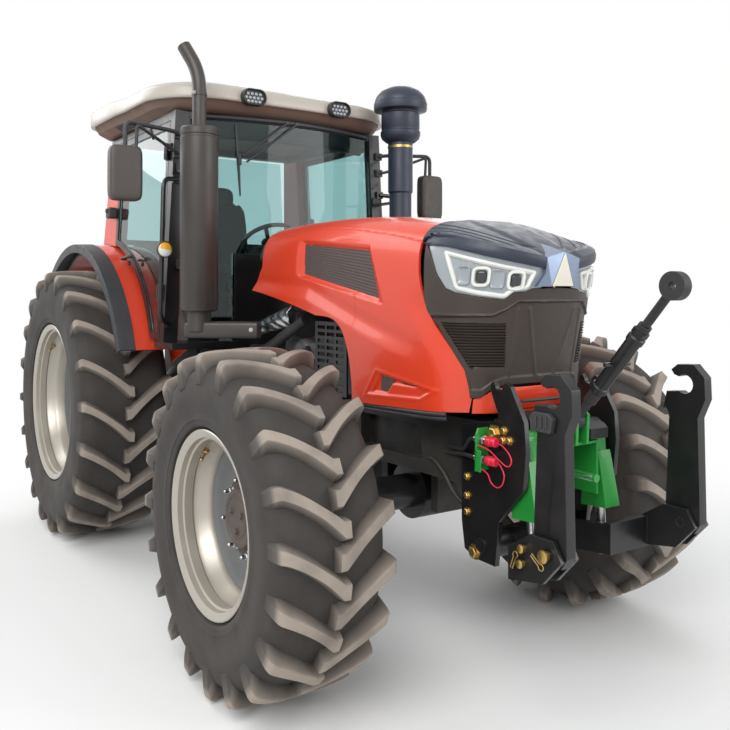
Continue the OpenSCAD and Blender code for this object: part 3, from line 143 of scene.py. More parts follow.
def grid(points: Array, wrap_u: bool = False, wrap_v: bool = False, flip: bool = False) -> Shape:
    """A surface through a grid of points: one quad between each four neighbours.

    Args:
        points: Array of n rows and m columns of places.
        wrap_u: Whether the last row joins the first.
        wrap_v: Whether the last column joins the first.
        flip: Whether the faces point the other way.
    Returns:
        The surface as a shape.
    """
    n, m = points.shape[:2]
    ids = np.arange(n * m).reshape(n, m)
    ids = np.concatenate([ids, ids[:1]]) if wrap_u else ids
    ids = np.concatenate([ids, ids[:, :1]], axis=1) if wrap_v else ids
    quads = np.stack([ids[:-1, :-1], ids[1:, :-1], ids[1:, 1:], ids[:-1, 1:]], -1).reshape(-1, 4)
    return Shape(points.reshape(-1, 3), (quads[:, ::-1] if flip else quads).tolist())


def tube(loops: Array, first: bool = True, last: bool = True) -> Shape:
    """A surface through closed loops of points, with its first and last loop filled where asked."""
    shape = grid(loops, wrap_v=True)
    n, count = loops.shape[1], loops.shape[0] * loops.shape[1]
    shape.faces += [tuple(range(n))] if first else []
    shape.faces += [tuple(range(count - 1, count - n - 1, -1))] if last else []
    return shape


def revolve(profile: Array, centre: Point, axis: Point, steps: int = 64, closed: bool = False) -> Shape:
    """A profile of (radius, distance) turned about an axis: d * axis + r * (cos a * u + sin a * v)."""
    axis = np.asarray(axis, float)
    u = unit(np.cross(axis, UP if abs(axis[2]) < 0.9 else AHEAD))
    v = np.cross(axis, u)
    a = around(steps)[None, :, None]
    r, d = profile[:, None, :1], profile[:, None, 1:2]
    points = np.asarray(centre, float) + d * axis + r * (np.cos(a) * u + np.sin(a) * v)
    return grid(points, wrap_u=closed, wrap_v=True)


def spline(points: Sequence[Point], count: int) -> Array:
    """A smooth curve through points: a Catmull-Rom cubic between each two neighbours."""
    p = np.asarray(points, float)
    p = np.concatenate([2 * p[:1] - p[1:2], p, 2 * p[-1:] - p[-2:-1]])
    t = np.linspace(0.0, len(p) - 3, count)
    i = np.minimum(t.astype(int), len(p) - 4)
    f = (t - i)[:, None]
    a, b, c, d = p[i], p[i + 1], p[i + 2], p[i + 3]
    return 0.5 * (2 * b + (c - a) * f + (2 * a - 5 * b + 4 * c - d) * f**2 + (3 * b - a - 3 * c + d) * f**3)


def toward(start: Array, end: Array, by: float) -> Array:
    """The place at a distance from one point towards another."""
    return start + by * unit(end - start)


def bent(before: Array, corner: Array, after: Array, bend: float, steps: int) -> Array:
    """A corner replaced by a parabola over the bend's length."""
    q = np.linspace(0.0, 1.0, steps)[:, None]
    start, end = toward(corner, before, bend), toward(corner, after, bend)
    return (1 - q) ** 2 * start + 2 * q * (1 - q) * corner + q**2 * end


def rounded(points: Sequence[Point], bend: float, steps: int = 7) -> Array:
    """A route with each of its corners bent."""
    p = np.asarray(points, float)
    turns = [bent(a, b, c, bend, steps) for a, b, c in zip(p[:-2], p[1:-1], p[2:])]
    return np.concatenate([p[:1], *turns, p[-1:]])


def sweep(path: Array, radius: float | Array, sides: int = 16) -> Shape:
    """A round profile carried along a path, closed at both ends.

    The ring at each point stands square to the path: point + radius * (cos a * u + sin a * v).
    """
    path = np.asarray(path, float)
    slanting = np.array([0.31, 0.87, 0.4])
    t = unit(np.gradient(path, axis=0))
    u = unit(np.cross(t, slanting))
    v = np.cross(t, u)
    a = around(sides)[None, :, None]
    r = np.broadcast_to(np.asarray(radius, float), len(path))[:, None, None]
    return tube(path[:, None] + r * (np.cos(a) * u[:, None] + np.sin(a) * v[:, None]))


class Plane(Enum):
    """The plane that an outline is drawn in, as its two axes and the axis it is pulled along."""

    SIDE = (0, 2, 1)
    FRONT = (1, 2, 0)
    TOP = (0, 1, 2)


def prism(outline: Sequence[Point], low: float, high: float, plane: Plane) -> Shape:
    """An outline pulled straight from low to high along the axis square to its plane."""
    flat = np.asarray(outline, float)
    a, b, c = plane.value
    flat = flat if (winding(flat) > 0) == (plane is not Plane.SIDE) else flat[::-1]
    n = len(flat)
    points = np.zeros((2, n, 3))
    points[:, :, a], points[:, :, b] = flat[:, 0], flat[:, 1]
    points[0, :, c], points[1, :, c] = low, high
    shape = grid(points, wrap_v=True, flip=True)
    shape.faces += [tuple(range(n))[::-1], tuple(range(n, 2 * n))]
    return shape


def arc(centre: Point, radius: float, start: float, end: float, steps: int = 8) -> Array:
    """Points of an arc in a plane, with its angles in degrees."""
    a = np.radians(np.linspace(start, end, steps))
    return np.asarray(centre, float) + radius * np.stack([np.cos(a), np.sin(a)], 1)


def round_rect(width: float, height: float, radius: float, steps: int = 6) -> Array:
    """Outline of a rectangle with round corners about its middle."""
    x, y = width / 2 - radius, height / 2 - radius
    corners = (((x, y), 0), ((-x, y), 90), ((-x, -y), 180), ((x, -y), 270))
    return np.concatenate([arc(c, radius, a, a + 90, steps) for c, a in corners])


def block(low: Point, high: Point) -> Shape:
    """A box between two corners, whose edges a bevel rounds later."""
    (x0, y0, z0), (x1, y1, z1) = low, high
    return prism([(x0, y0), (x1, y0), (x1, y1), (x0, y1)], z0, z1, Plane.TOP)


def lathe(profile: Sequence[Point], centre: Point, axis: Point, steps: int = 32) -> Shape:
    """A closed turned piece: a profile from axis to axis, revolved."""
    flat = np.asarray(profile, float)
    flat = np.maximum(flat, [1e-5, -1e9])
    shape = revolve(flat, centre, axis, steps)
    n = len(flat) * steps
    shape.faces += [tuple(range(steps))[::-1], tuple(range(n - steps, n))]
    return shape


def bolt(centre: Point, axis: Point, radius: float, height: float) -> Shape:
    """A hexagon bolt head on a washer, standing out along an axis."""
    washer = [(0, -0.002), (1.5 * radius, -0.002), (1.5 * radius, 0.003), (1.02 * radius, 0.003)]
    head = [(radius, 0.003), (radius, height * 0.85), (0.8 * radius, height), (0, height)]
    return lathe(washer + head, centre, axis, 6)


# Materials

@dataclass(frozen=True)
class Wiring:
    """A node tree, with short ways to add a node, set its inputs and link it."""

    tree: bpy.types.NodeTree

    def feed(self, socket: Socket, source: Any) -> None:
        """Links a socket to another one, or sets its value."""
        if isinstance(source, Socket):
            self.tree.links.new(source, socket)
        else:
            socket.default_value = source

    def add(self, kind: str, inputs: dict | None = None, **settings: Any) -> bpy.types.Node:
        """A new node.

        Args:
            kind: Its type, without the first part that all shader nodes share.
            inputs: For the name or number of an input, the socket or value that feeds it.
            settings: Its other properties.
        Returns:
            The node.
        """
        node = self.tree.nodes.new("ShaderNode" + kind)
        for key, value in settings.items():
            setattr(node, key, value)
        for key, source in (inputs or {}).items():
            self.feed(node.inputs[key], source)
        return node

    def group(self, tree: bpy.types.NodeTree, **values: float) -> bpy.types.Node:
        """A shared group placed in a material with its own values."""
        return self.add("Group", values, node_tree=tree)

    def place(self) -> Socket:
        """The place on the piece in object space."""
        return self.add("TexCoord").outputs["Object"]

    def noise(self, scale: Any, detail: float, roughness: float = 0.5) -> Socket:
        """Noise in object space."""
        inputs = {"Vector": self.place(), "Scale": scale, "Detail": detail, "Roughness": roughness}
        return self.add("TexNoise", inputs).outputs["Fac"]

    def span(self, source: Socket, start: Any, end: float, low: float = 0.0, high: float = 1.0) -> Socket:
        """A socket's range from start to end, spread between low and high."""
        inputs = {"Value": source, "From Min": start, "From Max": end, "To Min": low, "To Max": high}
        return self.add("MapRange", inputs).outputs["Result"]

    def product(self, first: Socket, second: Any, clamp: bool = False) -> Socket:
        """The product of two values, kept between 0 and 1 where asked."""
        return self.add("Math", {0: first, 1: second}, operation="MULTIPLY", use_clamp=clamp).outputs[0]

    def mix(self, factor: Socket, first: Any, second: Any) -> Socket:
        """A mix of two colours, each a socket or a plain colour."""
        return self.add("Mix", {0: factor, 6: first, 7: second}, data_type="RGBA").outputs[2]

    def mix_value(self, factor: Socket, first: Socket, second: float) -> Socket:
        """A mix of a value socket and a plain number."""
        return self.add("Mix", {0: factor, 2: first, 3: second}).outputs[0]


def shared(name: str, inputs: dict[str, float], outputs: Sequence[str],
           build: Callable) -> bpy.types.NodeTree:
    """A shader node group that several finishes use, built once.

    Args:
        name: Name of the group.
        inputs: Name and first value of each input.
        outputs: Name of each output.
        build: Takes the wiring and the group's own inputs, and gives a socket for each output.
    Returns:
        The group.
    """
    tree = bpy.data.node_groups.get(name)
    if tree:
        return tree
    tree = bpy.data.node_groups.new(name, "ShaderNodeTree")
    for key, value in inputs.items():
        tree.interface.new_socket(key, in_out="INPUT", socket_type="NodeSocketFloat").default_value = value
    for key in outputs:
        tree.interface.new_socket(key, in_out="OUTPUT", socket_type="NodeSocketFloat")
    given, result = tree.nodes.new("NodeGroupInput"), tree.nodes.new("NodeGroupOutput")
    for key, socket in zip(outputs, build(Wiring(tree), given.outputs)):
        tree.links.new(socket, result.inputs[key])
    return tree


def surface_grain() -> bpy.types.NodeTree:
    """Fine and broad noise in object space: Fine for bump, Broad for colour and gloss."""
    def build(w: Wiring, given: Any) -> list[Socket]:
        """Two noises, the second one broader."""
        return [w.noise(w.product(given["Scale"], k), detail) for k, detail in ((1.0, 3.0), (0.06, 4.0))]
    return shared("surface_grain", {"Scale": 60.0}, ("Fine", "Broad"), build)


def edge_wear() -> bpy.types.NodeTree:
    """Edge wear: where a bevelled normal leaves the true normal, broken up by noise."""
    def build(w: Wiring, given: Any) -> list[Socket]:
        """The dot product of both normals, sharpened, times noise and amount."""
        soft = w.add("Bevel", {"Radius": given["Radius"]}, samples=4).outputs["Normal"]
        true = w.add("NewGeometry").outputs["Normal"]
        dot = w.add("VectorMath", {0: soft, 1: true}, operation="DOT_PRODUCT").outputs["Value"]
        patch = w.span(w.noise(23.0, 6.0), 0.42, 0.62)
        return [w.product(w.product(w.span(dot, 0.98, 0.8), patch), given["Amount"])]
    return shared("edge_wear", {"Radius": 0.006, "Amount": 0.5}, ("Mask",), build)


def road_dust() -> bpy.types.NodeTree:
    """Road dust: more on faces that look up and low on the machine, in soft patches."""
    def build(w: Wiring, given: Any) -> list[Socket]:
        """The product of the amount, the height's share, the face's tilt and noise."""
        height = w.add("SeparateXYZ", {0: w.place()}).outputs["Z"]
        facing = w.add("SeparateXYZ", {0: w.add("NewGeometry").outputs["Normal"]}).outputs["Z"]
        shares = (w.span(height, given["Top"], 0.0, 0.15), w.span(facing, -0.2, 1.0, 0.35),
                  w.span(w.noise(5.0, 8.0, 0.65), 0.32, 0.72))
        mask = given["Amount"]
        for share in shares:
            mask = w.product(mask, share)
        return [mask]
    return shared("road_dust", {"Top": 1.6, "Amount": 0.4}, ("Mask",), build)


def linear(code: str) -> tuple[float, float, float, float]:
    """A colour written as six hexadecimal digits, in linear light."""
    c = np.array([int(code[i:i + 2], 16) for i in (0, 2, 4)]) / 255
    c = np.where(c <= 0.04045, c / 12.92, ((c + 0.055) / 1.055) ** 2.4)
    return (*c.tolist(), 1.0)


@dataclass(frozen=True)
class Finish:
    """A finish: base colour, gloss, and how it wears and gathers dust."""

    name: str
    colour: str
    slot: str
    rough: float = 0.5
    metal: float = 0.0
    coat: float = 0.0
    vary: float = 0.1
    grain: float = 220.0
    bump: float = 0.1
    wear: float = 0.0
    wear_colour: str = "8d8f92"
    dust: float = 0.25
    dust_top: float = 2.2
    dust_colour: str = "b3a28c"
    dust_rough: float = 0.92
    worn_colour: str = ""
    transmission: float = 0.0
    ior: float = 1.5

    def material(self) -> bpy.types.Material:
        """The finish as a material, made once: grain varies colour and gloss, wear and dust lie on top."""
        found = bpy.data.materials.get(self.name)
        if found:
            return found
        material = bpy.data.materials.new(self.name)
        material.use_nodes = True
        w = Wiring(material.node_tree)
        grain = w.group(surface_grain(), Scale=self.grain)
        broad = grain.outputs["Broad"]
        base = np.array(linear(self.colour)[:3])
        dark, light = ((*np.clip(base * k, 0, 1).tolist(), 1.0) for k in (1 - self.vary, 1 + self.vary))
        colour = w.mix(broad, dark, light)
        rough = w.span(broad, 0.3, 0.7, self.rough * 0.85, min(1.0, self.rough * 1.15))
        if self.worn_colour:
            worn = w.add("Attribute", attribute_name="worn").outputs["Fac"]
            patchy = w.product(worn, w.span(broad, 0.3, 0.7, 0.55, 1.25), clamp=True)
            colour = w.mix(patchy, colour, linear(self.worn_colour))
        if self.wear:
            mask = w.group(edge_wear(), Amount=self.wear).outputs["Mask"]
            colour = w.mix(mask, colour, linear(self.wear_colour))
        if self.dust:
            mask = w.group(road_dust(), Amount=self.dust, Top=self.dust_top).outputs["Mask"]
            colour = w.mix(mask, colour, linear(self.dust_colour))
            rough = w.mix_value(mask, rough, self.dust_rough)
        inputs = {"Base Color": colour, "Roughness": rough, "Metallic": self.metal, "Coat Weight": self.coat,
                  "Coat Roughness": 0.06, "Transmission Weight": self.transmission, "IOR": self.ior}
        if self.bump:
            relief = {"Strength": self.bump, "Distance": 0.002, "Height": grain.outputs["Fine"]}
            inputs["Normal"] = w.add("Bump", relief).outputs["Normal"]
        for key, source in inputs.items():
            w.feed(w.tree.nodes["Principled BSDF"].inputs[key], source)
        return material


RED = Finish("red_paint", "d43c1f", "red", rough=0.36, coat=0.3, vary=0.012, bump=0.01, grain=420, dust=0.06,
             dust_top=1.9)
BLACK = Finish("black_paint", "101114", "black", rough=0.34, bump=0.06, wear=0.15, dust=0.08, dust_top=1.7)
IRON = Finish("cast_iron_paint", "191a1c", "iron", rough=0.55, grain=160, bump=0.25, wear=0.2, dust=0.35,
              dust_top=1.5)
ENGINE = Finish("engine_grey", "4b4e50", "engine", rough=0.5, grain=120, bump=0.25, wear=0.3, dust=0.3)
STEEL = Finish("bare_steel", "b9bbbe", "steel", rough=0.28, metal=1.0, vary=0.06, bump=0.04, dust=0.12)
SILVER = Finish("rim_silver", "b0aaa0", "rim", rough=0.34, metal=0.55, vary=0.04, bump=0.02, dust=0.22,
                dust_top=1.2)
DISC = Finish("disc_grey", "6a6d6e", "rim", rough=0.45, metal=0.25, vary=0.05, bump=0.03, dust=0.18)
HUB = Finish("hub_brown", "453b37", "iron", rough=0.6, bump=0.2, grain=150, wear=0.3, dust=0.35, dust_top=1.2)
TYRE = Finish("tyre_rubber", "2e2b29", "tyre", rough=0.78, vary=0.16, grain=90, bump=0.18, dust=0.45,
              dust_top=1.9, dust_colour="75695f", worn_colour="988d82")
RUBBER = Finish("trim_rubber", "2a2d33", "rubber", rough=0.5, vary=0.06, grain=300, bump=0.08, dust=0.2)
# Painted shade: the roof shell's colour is its own pale tone darkened to match its side in shade.
ROOF_SHADED = Finish("roof_shell", "aea89e", "roof", rough=0.38, coat=0.2, vary=0.03, bump=0.015, dust=0.12,
              dust_top=4.0)
LINING = Finish("roof_lining", "715d51", "roof", rough=0.7, vary=0.05, bump=0.05, dust=0.0)
GLASS = Finish("tinted_glass", "bcd8d8", "glass", rough=0.02, vary=0.01, bump=0.0, dust=0.0, transmission=1.0,
               ior=1.4)
SEAT = Finish("seat_fabric", "2d2f33", "seat", rough=0.9, vary=0.15, grain=700, bump=0.45, dust=0.1)
EXHAUST = Finish("exhaust_paint", "3a3633", "exhaust", rough=0.42, metal=0.2, vary=0.08, grain=140, bump=0.1,
                 dust=0.15)
AMBER = Finish("amber_lens", "e0a21f", "lens", rough=0.15, coat=0.6, vary=0.05, bump=0.1, grain=260, dust=0.0)
CLEAR = Finish("clear_lens", "d8d8d2", "lens_clear", rough=0.12, coat=0.5, vary=0.03, bump=0.05, dust=0.0)
RED_LENS = Finish("red_lens", "b3262a", "lens", rough=0.15, coat=0.6, vary=0.05, bump=0.1, grain=260,
                  dust=0.0)
CHROME = Finish("chrome", "d9dbde", "chrome", rough=0.1, metal=1.0, vary=0.02, bump=0.0, dust=0.0)
GRILLE = Finish("grille_mesh", "30261f", "grille", rough=0.5, vary=0.08, grain=500, bump=0.25, dust=0.08)
MESH = Finish("vent_mesh", "4a3d3b", "grille", rough=0.55, vary=0.06, grain=900, bump=0.35, dust=0.1)
LAMP = Finish("lamp_housing", "979ea2", "lens_clear", rough=0.25, metal=0.2, coat=0.4, vary=0.04, bump=0.02,
              dust=0.0)
WEDGE = Finish("wedge_satin", "808da3", "chrome", rough=0.22, metal=0.75, vary=0.03, bump=0.01, dust=0.0)
CREAM = Finish("wedge_front", "d2ccbd", "chrome", rough=0.25, metal=0.2, coat=0.4, vary=0.03, bump=0.01,
               dust=0.0)
LENS = Finish("projector_lens", "15181c", "lens", rough=0.06, coat=1.0, vary=0.02, bump=0.0, dust=0.0)
CAP = Finish("cap_plastic", "232b3a", "black", rough=0.44, vary=0.03, grain=400, bump=0.03, dust=0.02,
             dust_top=3.0)
GREEN = Finish("green_paint", "1c8a35", "green", rough=0.33, coat=0.3, vary=0.05, bump=0.02, wear=0.15,
               dust=0.12)
TRIM = Finish("trim_brown", "3f3a36", "black", rough=0.5, vary=0.06, grain=600, bump=0.1, dust=0.1)
PLASTIC = Finish("dark_plastic", "2f2f30", "black", rough=0.55, vary=0.06, grain=600, bump=0.12, dust=0.1)
HOSE = Finish("hose_rubber", "1b1b1c", "rubber", rough=0.6, vary=0.08, grain=400, bump=0.1, dust=0.15)
BRASS = Finish("zinc_yellow", "b79a5e", "steel", rough=0.32, metal=0.9, vary=0.12, bump=0.05, dust=0.1)
COUPLER = Finish("coupler_red", "d81f3f", "lens", rough=0.35, vary=0.05, bump=0.02, dust=0.05)


def added(name: str, data: Any) -> bpy.types.Object:
    """A new object, linked into the scene."""
    made = bpy.data.objects.new(name, data)
    bpy.context.scene.collection.objects.link(made)
    return made


def piece(name: str, shape: Shape, finish: Finish, body: str = "chassis", replaces: Iterable[str] = (),
          bevel: float = 0.0, smooth: float = 38.0, subdivide: int = 0) -> bpy.types.Object:
    """A shape made into a finished object that rides on a body.

    Args:
        name: Name of the piece.
        shape: Its points and faces.
        finish: Its finish.
        body: Body that carries it.
        replaces: Nodes that it stands for.
        bevel: Width of its rounded edges.
        smooth: Angle in degrees above which an edge stays sharp.
        subdivide: Levels of a subdivision surface.
    Returns:
        The object.
    """
    mesh = bpy.data.meshes.new(name)
    mesh.from_pydata(shape.points.tolist(), [], [tuple(f) for f in shape.faces])
    if shape.worn is not None and shape.worn.any():
        mesh.attributes.new("worn", "FLOAT", "POINT").data.foreach_set("value", shape.worn.astype(np.float32))
    work = bmesh.new()
    work.from_mesh(mesh)
    bmesh.ops.remove_doubles(work, verts=work.verts, dist=2e-6)
    bmesh.ops.recalc_face_normals(work, faces=work.faces)
    work.to_mesh(mesh)
    work.free()
    return dressed(name, mesh, finish, body, replaces, bevel, smooth, subdivide)


def dressed(name: str, mesh: bpy.types.Mesh, finish: Finish, body: str, replaces: Iterable[str],
            bevel: float, smooth: float, subdivide: int = 0) -> bpy.types.Object:
    """A mesh given its finish, rounded edges, smooth faces and body."""
    mesh.materials.clear()
    mesh.materials.append(finish.material())
    made = added(name, mesh)
    mesh.shade_smooth()
    mesh.set_sharp_from_angle(angle=math.radians(smooth))
    if bevel:
        edge = made.modifiers.new("edges", "BEVEL")
        edge.width = bevel
        edge.segments = 2
        edge.limit_method = "ANGLE"
        edge.angle_limit = math.radians(smooth)
        edge.harden_normals = True
    if subdivide:
        fine = made.modifiers.new("fine", "SUBSURF")
        fine.levels = fine.render_levels = subdivide
    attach(made, body)
    for node in replaces:
        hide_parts(node)
    LOG.info("%s: %d points on %s", name, len(mesh.vertices), body)
    return made


def body_of(node: str) -> str:
    """The body that a node belongs to."""
    return next(b for b, members in frame["record"]["behaviour"]["bodies"].items() if node in members)


def refined(node: str, finish: Finish, bevel: float = 0.003, smooth: float = 32.0) -> bpy.types.Object:
    """A merged copy of a node with its flat faces joined and its edges rounded, which stands for the node."""
    mesh = frame["nodes"][node].data.copy()
    work = bmesh.new()
    work.from_mesh(mesh)
    bmesh.ops.remove_doubles(work, verts=work.verts, dist=2e-5)
    bmesh.ops.dissolve_limit(work, angle_limit=math.radians(0.4), verts=work.verts, edges=work.edges)
    work.to_mesh(mesh)
    work.free()
    return dressed(node + "_skin", mesh, finish, body_of(node), [node], bevel, smooth)


def walled(made: bpy.types.Object, wall: float) -> None:
    """Gives a sheet its wall, inwards."""
    made.modifiers.new("wall", "SOLIDIFY").thickness = wall


# Wheels

@dataclass
class Wheel:
    """A driven farm wheel: a tyre with curved lugs on a stepped rim with a dished disc and a hub."""

    axle: str
    side: str
    lugs: int = 20
    lug_height: float = 0.052
    lead: float = 0.225
    lug_half: float = 0.026
    foot_extra: float = 0.016
    overlap: float = 0.025
    wall: float = 0.012
    disc_at: float = 0.02
    hub_radius: float = 0.135
    hub_out: float = 0.09
    well_drop: float = 0.07
    studs: int = 8
    centre: Array = field(init=False)
    radius: float = field(init=False)
    half: float = field(init=False)
    rim_radius: float = field(init=False)
    rim_half: float = field(init=False)

    def __post_init__(self) -> None:
        """Takes the sizes from the solids of the tyre and the rim."""
        low, high = (np.array(c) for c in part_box(f"tyre_{self.axle}_{self.side}"))
        self.centre = (low + high) / 2
        self.radius = (high[2] - low[2]) / 2
        self.half = (high[1] - low[1]) / 2
        low, high = (np.array(c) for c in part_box(f"rim_{self.axle}_{self.side}"))
        self.rim_radius = (high[2] - low[2]) / 2
        self.rim_half = (high[1] - low[1]) / 2

    @property
    def out(self) -> Array:
        """The direction from the middle of the tractor outwards."""
        return np.array([0.0, SIDES[self.side], 0.0])

    def carcass(self) -> Shape:
        """The tyre's body: a closed section of bead, sidewall, shoulder and tread base, revolved."""
        base, h, r = self.radius - self.lug_height, self.half, self.rim_radius
        bead = self.rim_half - self.wall - 0.004
        outer = [(r - 0.02, bead - 0.002), (r + 0.004, bead), (r + 0.012, bead + 0.01),
                 (r + 0.016, bead + 0.022), (r + 0.04, bead + 0.027), (r + 0.046, bead + 0.03),
                 (r + 0.075, h - 0.012), ((r + base) / 2 + 0.01, h - 0.002), (base - 0.085, h - 0.012),
                 (base - 0.055, h - 0.022), (base - 0.025, h - 0.055), (base - 0.008, h - 0.11),
                 (base, 0.0)]
        half = spline(outer, 44)
        inside = [(r - 0.021, -bead + 0.06), (r - 0.021, bead - 0.06)]
        section = np.concatenate([half, half[-2::-1] * [1, -1], inside])
        return revolve(section, self.centre, self.out, 144, closed=True)

    def lug_shape(self) -> Shape:
        """All lugs at once.

        A lug's ridge and foot are two curves of (radius, distance from the middle). On its way out the lug
        lags behind by the lead times 1.35 s - 0.35 s * s, so it bends towards the middle. It stands between
        those curves with a top and a wider foot.
        """
        base, h, top = self.radius - self.lug_height, self.half, self.radius
        ridge = spline([(top, -self.overlap), (top - 0.001, 0.25 * h), (top - 0.005, 0.6 * h),
                        (top - 0.014, 0.86 * h), (top - 0.03, 0.965 * h), (top - 0.085, h - 0.001),
                        (top - 0.15, 0.992 * h)], 22)
        foot = spline([(base - 0.012, -self.overlap), (base - 0.012, 0.25 * h), (base - 0.014, 0.55 * h),
                       (base - 0.022, 0.78 * h), (base - 0.05, 0.89 * h), (base - 0.08, 0.92 * h),
                       (top - 0.165, 0.94 * h)], 22)
        s = np.clip(ridge[:, 1] / (0.94 * h), 0.0, 1.0)
        lag = self.lead * (1.35 * s - 0.35 * s**2)
        flat = np.interp(s, [0.0, 0.12, 0.35, 0.9, 1.0], [1.35, 1.25, 1.0, 1.0, 1.05]) * self.lug_half
        wide = flat + self.foot_extra
        across = np.array([[-1, 0, 0.0], [0, -1, 0.16], [0, -0.86, 0.0], [0, 0.86, 0.0], [0, 1, 0.16],
                           [1, 0, 0.0]])
        is_foot = np.array([1.0, 0.0, 0.0, 0.0, 0.0, 1.0])
        shift = across[None, :, 0] * wide[:, None] + across[None, :, 1] * flat[:, None]
        mix = is_foot + across[:, 2]
        place = ridge[:, None] * (1 - mix)[None, :, None] + foot[:, None] * mix[None, :, None]
        k = np.arange(self.lugs)
        halves = []
        for hand in (1.0, -1.0):
            angle = (2 * np.pi * (k + (0.5 if hand < 0 else 0.0)) / self.lugs)[:, None, None]
            angle = angle + lag[None, :, None] + shift[None] / place[None, :, :, 0]
            r = np.broadcast_to(place[None, :, :, 0], angle.shape)
            d = np.broadcast_to(hand * place[None, :, :, 1], angle.shape)
            halves.append(np.stack([r * np.cos(angle), d, r * np.sin(angle)], -1))
        points = np.concatenate(halves) + self.centre
        one = grid(points[0], wrap_v=True)
        n, m = points.shape[1:3]
        rings = np.array(one.faces)
        count = n * m
        starts = np.arange(len(points)) * count
        faces = (rings[None] + starts[:, None, None]).reshape(-1, 4).tolist()
        faces += [tuple(range(a, a + m)) for a in starts.tolist()]
        faces += [tuple(range(a + count - m, a + count)) for a in starts.tolist()]
        fade = np.interp(np.linspace(0, 1, n), [0, 0.72, 0.8, 1.0], [1.0, 1.0, 0.25, 0.0])
        worn = np.array([0.0, 0.55, 1.0, 1.0, 0.55, 0.0])[None] * fade[:, None]
        return Shape(points.reshape(-1, 3), faces, np.tile(worn.ravel(), len(points)))

    def barrel(self) -> Shape:
        """The rim's barrel: flanges, bead seats, humps and a drop centre, as one closed section revolved."""
        r, h, t = self.rim_radius, self.rim_half, self.wall
        seat, well = r - 0.025, r - self.well_drop
        outer = [(r, -h), (r, -h + t), (seat, -h + t + 0.008), (seat, -h + 0.09), (well, -h + 0.13),
                 (well, h - 0.17), (seat, h - 0.11), (seat, h - t - 0.008), (r - 0.003, h - t),
                 (r, h - t + 0.004), (r, h - 0.003), (r - 0.004, h), (r - 0.012, h - 0.002)]
        steps = [(seat - t, h - 0.016), (seat - t - 0.002, h - 0.04), (seat - t - 0.011, h - 0.046),
                 (seat - t - 0.013, h - 0.085), (seat - t - 0.006, h - 0.094), (seat - t - 0.01, h - 0.112),
                 (well - t + 0.01, h - 0.15), (well - t, h - 0.168), (well - t, self.disc_at + 0.03),
                 (well - t - 0.004, self.disc_at + 0.014), (well - t - 0.004, -h + 0.13),
                 (seat - t, -h + 0.09), (seat - t, -h + 0.004)]
        return revolve(np.array(outer + steps), self.centre, self.out, 128, closed=True)

    def disc(self) -> Shape:
        """The dished disc: a sheet with a rolled edge, a shallow cone and a flat middle, revolved."""
        well = self.rim_radius - self.well_drop - self.wall - 0.004
        face = [(0.0, 0.012), (0.2, 0.012), (0.215, 0.016), (well - 0.045, 0.02), (well - 0.02, 0.026),
                (well, 0.04)]
        back = [(well, 0.028), (well - 0.02, 0.014), (well - 0.045, 0.008), (0.215, 0.004), (0.0, 0.0)]
        return lathe(np.array(face + back) + [0.0, self.disc_at], self.centre, self.out, 96)

    def hub(self) -> Shape:
        """The hub with its stepped cap, a ring of studs with nuts, and the plugs on its cap."""
        r, o, d = self.hub_radius, self.hub_out, self.disc_at
        cap = lathe([(0, d), (r + 0.055, d), (r + 0.055, d + 0.02), (r + 0.05, d + 0.024),
                     (r + 0.004, d + 0.026), (r, d + 0.032), (r - 0.004, o - 0.008), (r - 0.01, o - 0.002),
                     (r - 0.03, o), (r - 0.034, o - 0.004), (r - 0.05, o - 0.004), (r - 0.054, o),
                     (0.0, o)],
                    self.centre, self.out, 64)
        a = np.radians([25.0, 150.0, 270.0])
        plugs = [bolt(self._spot(0.055, x, o), self.out, 0.014, 0.012) for x in a]
        return join(cap, *plugs)

    def nuts(self) -> Shape:
        """Wheel nuts on their studs around the hub."""
        a = around(self.studs) + 0.2
        r = self.hub_radius + 0.032
        nuts = [bolt(self._spot(r, x, self.disc_at + 0.024), self.out, 0.017, 0.02) for x in a]
        studs = [lathe([(0, 0.0), (0.009, 0.0), (0.009, 0.04), (0.006, 0.044), (0, 0.044)],
                       self._spot(r, x, self.disc_at + 0.024), self.out, 10) for x in a]
        return join(*nuts, *studs)

    def valve(self) -> Shape:
        """The valve with its cap and guard on the rim's outer step."""
        foot = self._spot(self.rim_radius - 0.055, 2.3, self.rim_half - 0.1)
        inwards = unit(unit((self.centre - foot) * [1, 0, 1]) + 0.9 * self.out)
        stem = [(0, -0.012), (0.013, -0.012), (0.013, 0.006), (0.007, 0.01), (0.006, 0.035), (0.008, 0.037),
                (0.008, 0.052), (0.005, 0.056), (0, 0.056)]
        return lathe(stem, foot, inwards, 14)

    def _spot(self, radius: float, angle: float, out: float) -> Array:
        """A place on the wheel at a radius, an angle and a distance outwards."""
        return self.centre + out * self.out + radius * np.array([math.cos(angle), 0.0, math.sin(angle)])

    def build(self) -> None:
        """Makes all pieces of the wheel."""
        tag, body = f"{self.axle}_{self.side}", f"wheel_{self.axle}_{self.side}"
        piece(f"tyre_{tag}_lugged", join(self.carcass(), self.lug_shape()), TYRE, body, [f"tyre_{tag}"],
              smooth=30)
        piece(f"rim_{tag}_barrel", self.barrel(), SILVER, body, [f"rim_{tag}"], smooth=30)
        piece(f"rim_{tag}_disc", self.disc(), DISC, body, smooth=30)
        piece(f"hub_{tag}", self.hub(), HUB, body, smooth=30)
        piece(f"nuts_{tag}", self.nuts(), STEEL, body, smooth=30)
        piece(f"valve_{tag}", self.valve(), BRASS, body, smooth=30)


# Hood and nose

def rise(x: Array, low: float | Array, high: float | Array) -> Array:
    """A smooth rise from 0 at low to 1 at high: 3 t squared less 2 t cubed."""
    t = np.clip((x - low) / (high - low), 0.0, 1.0)
    return t * t * (3 - 2 * t)


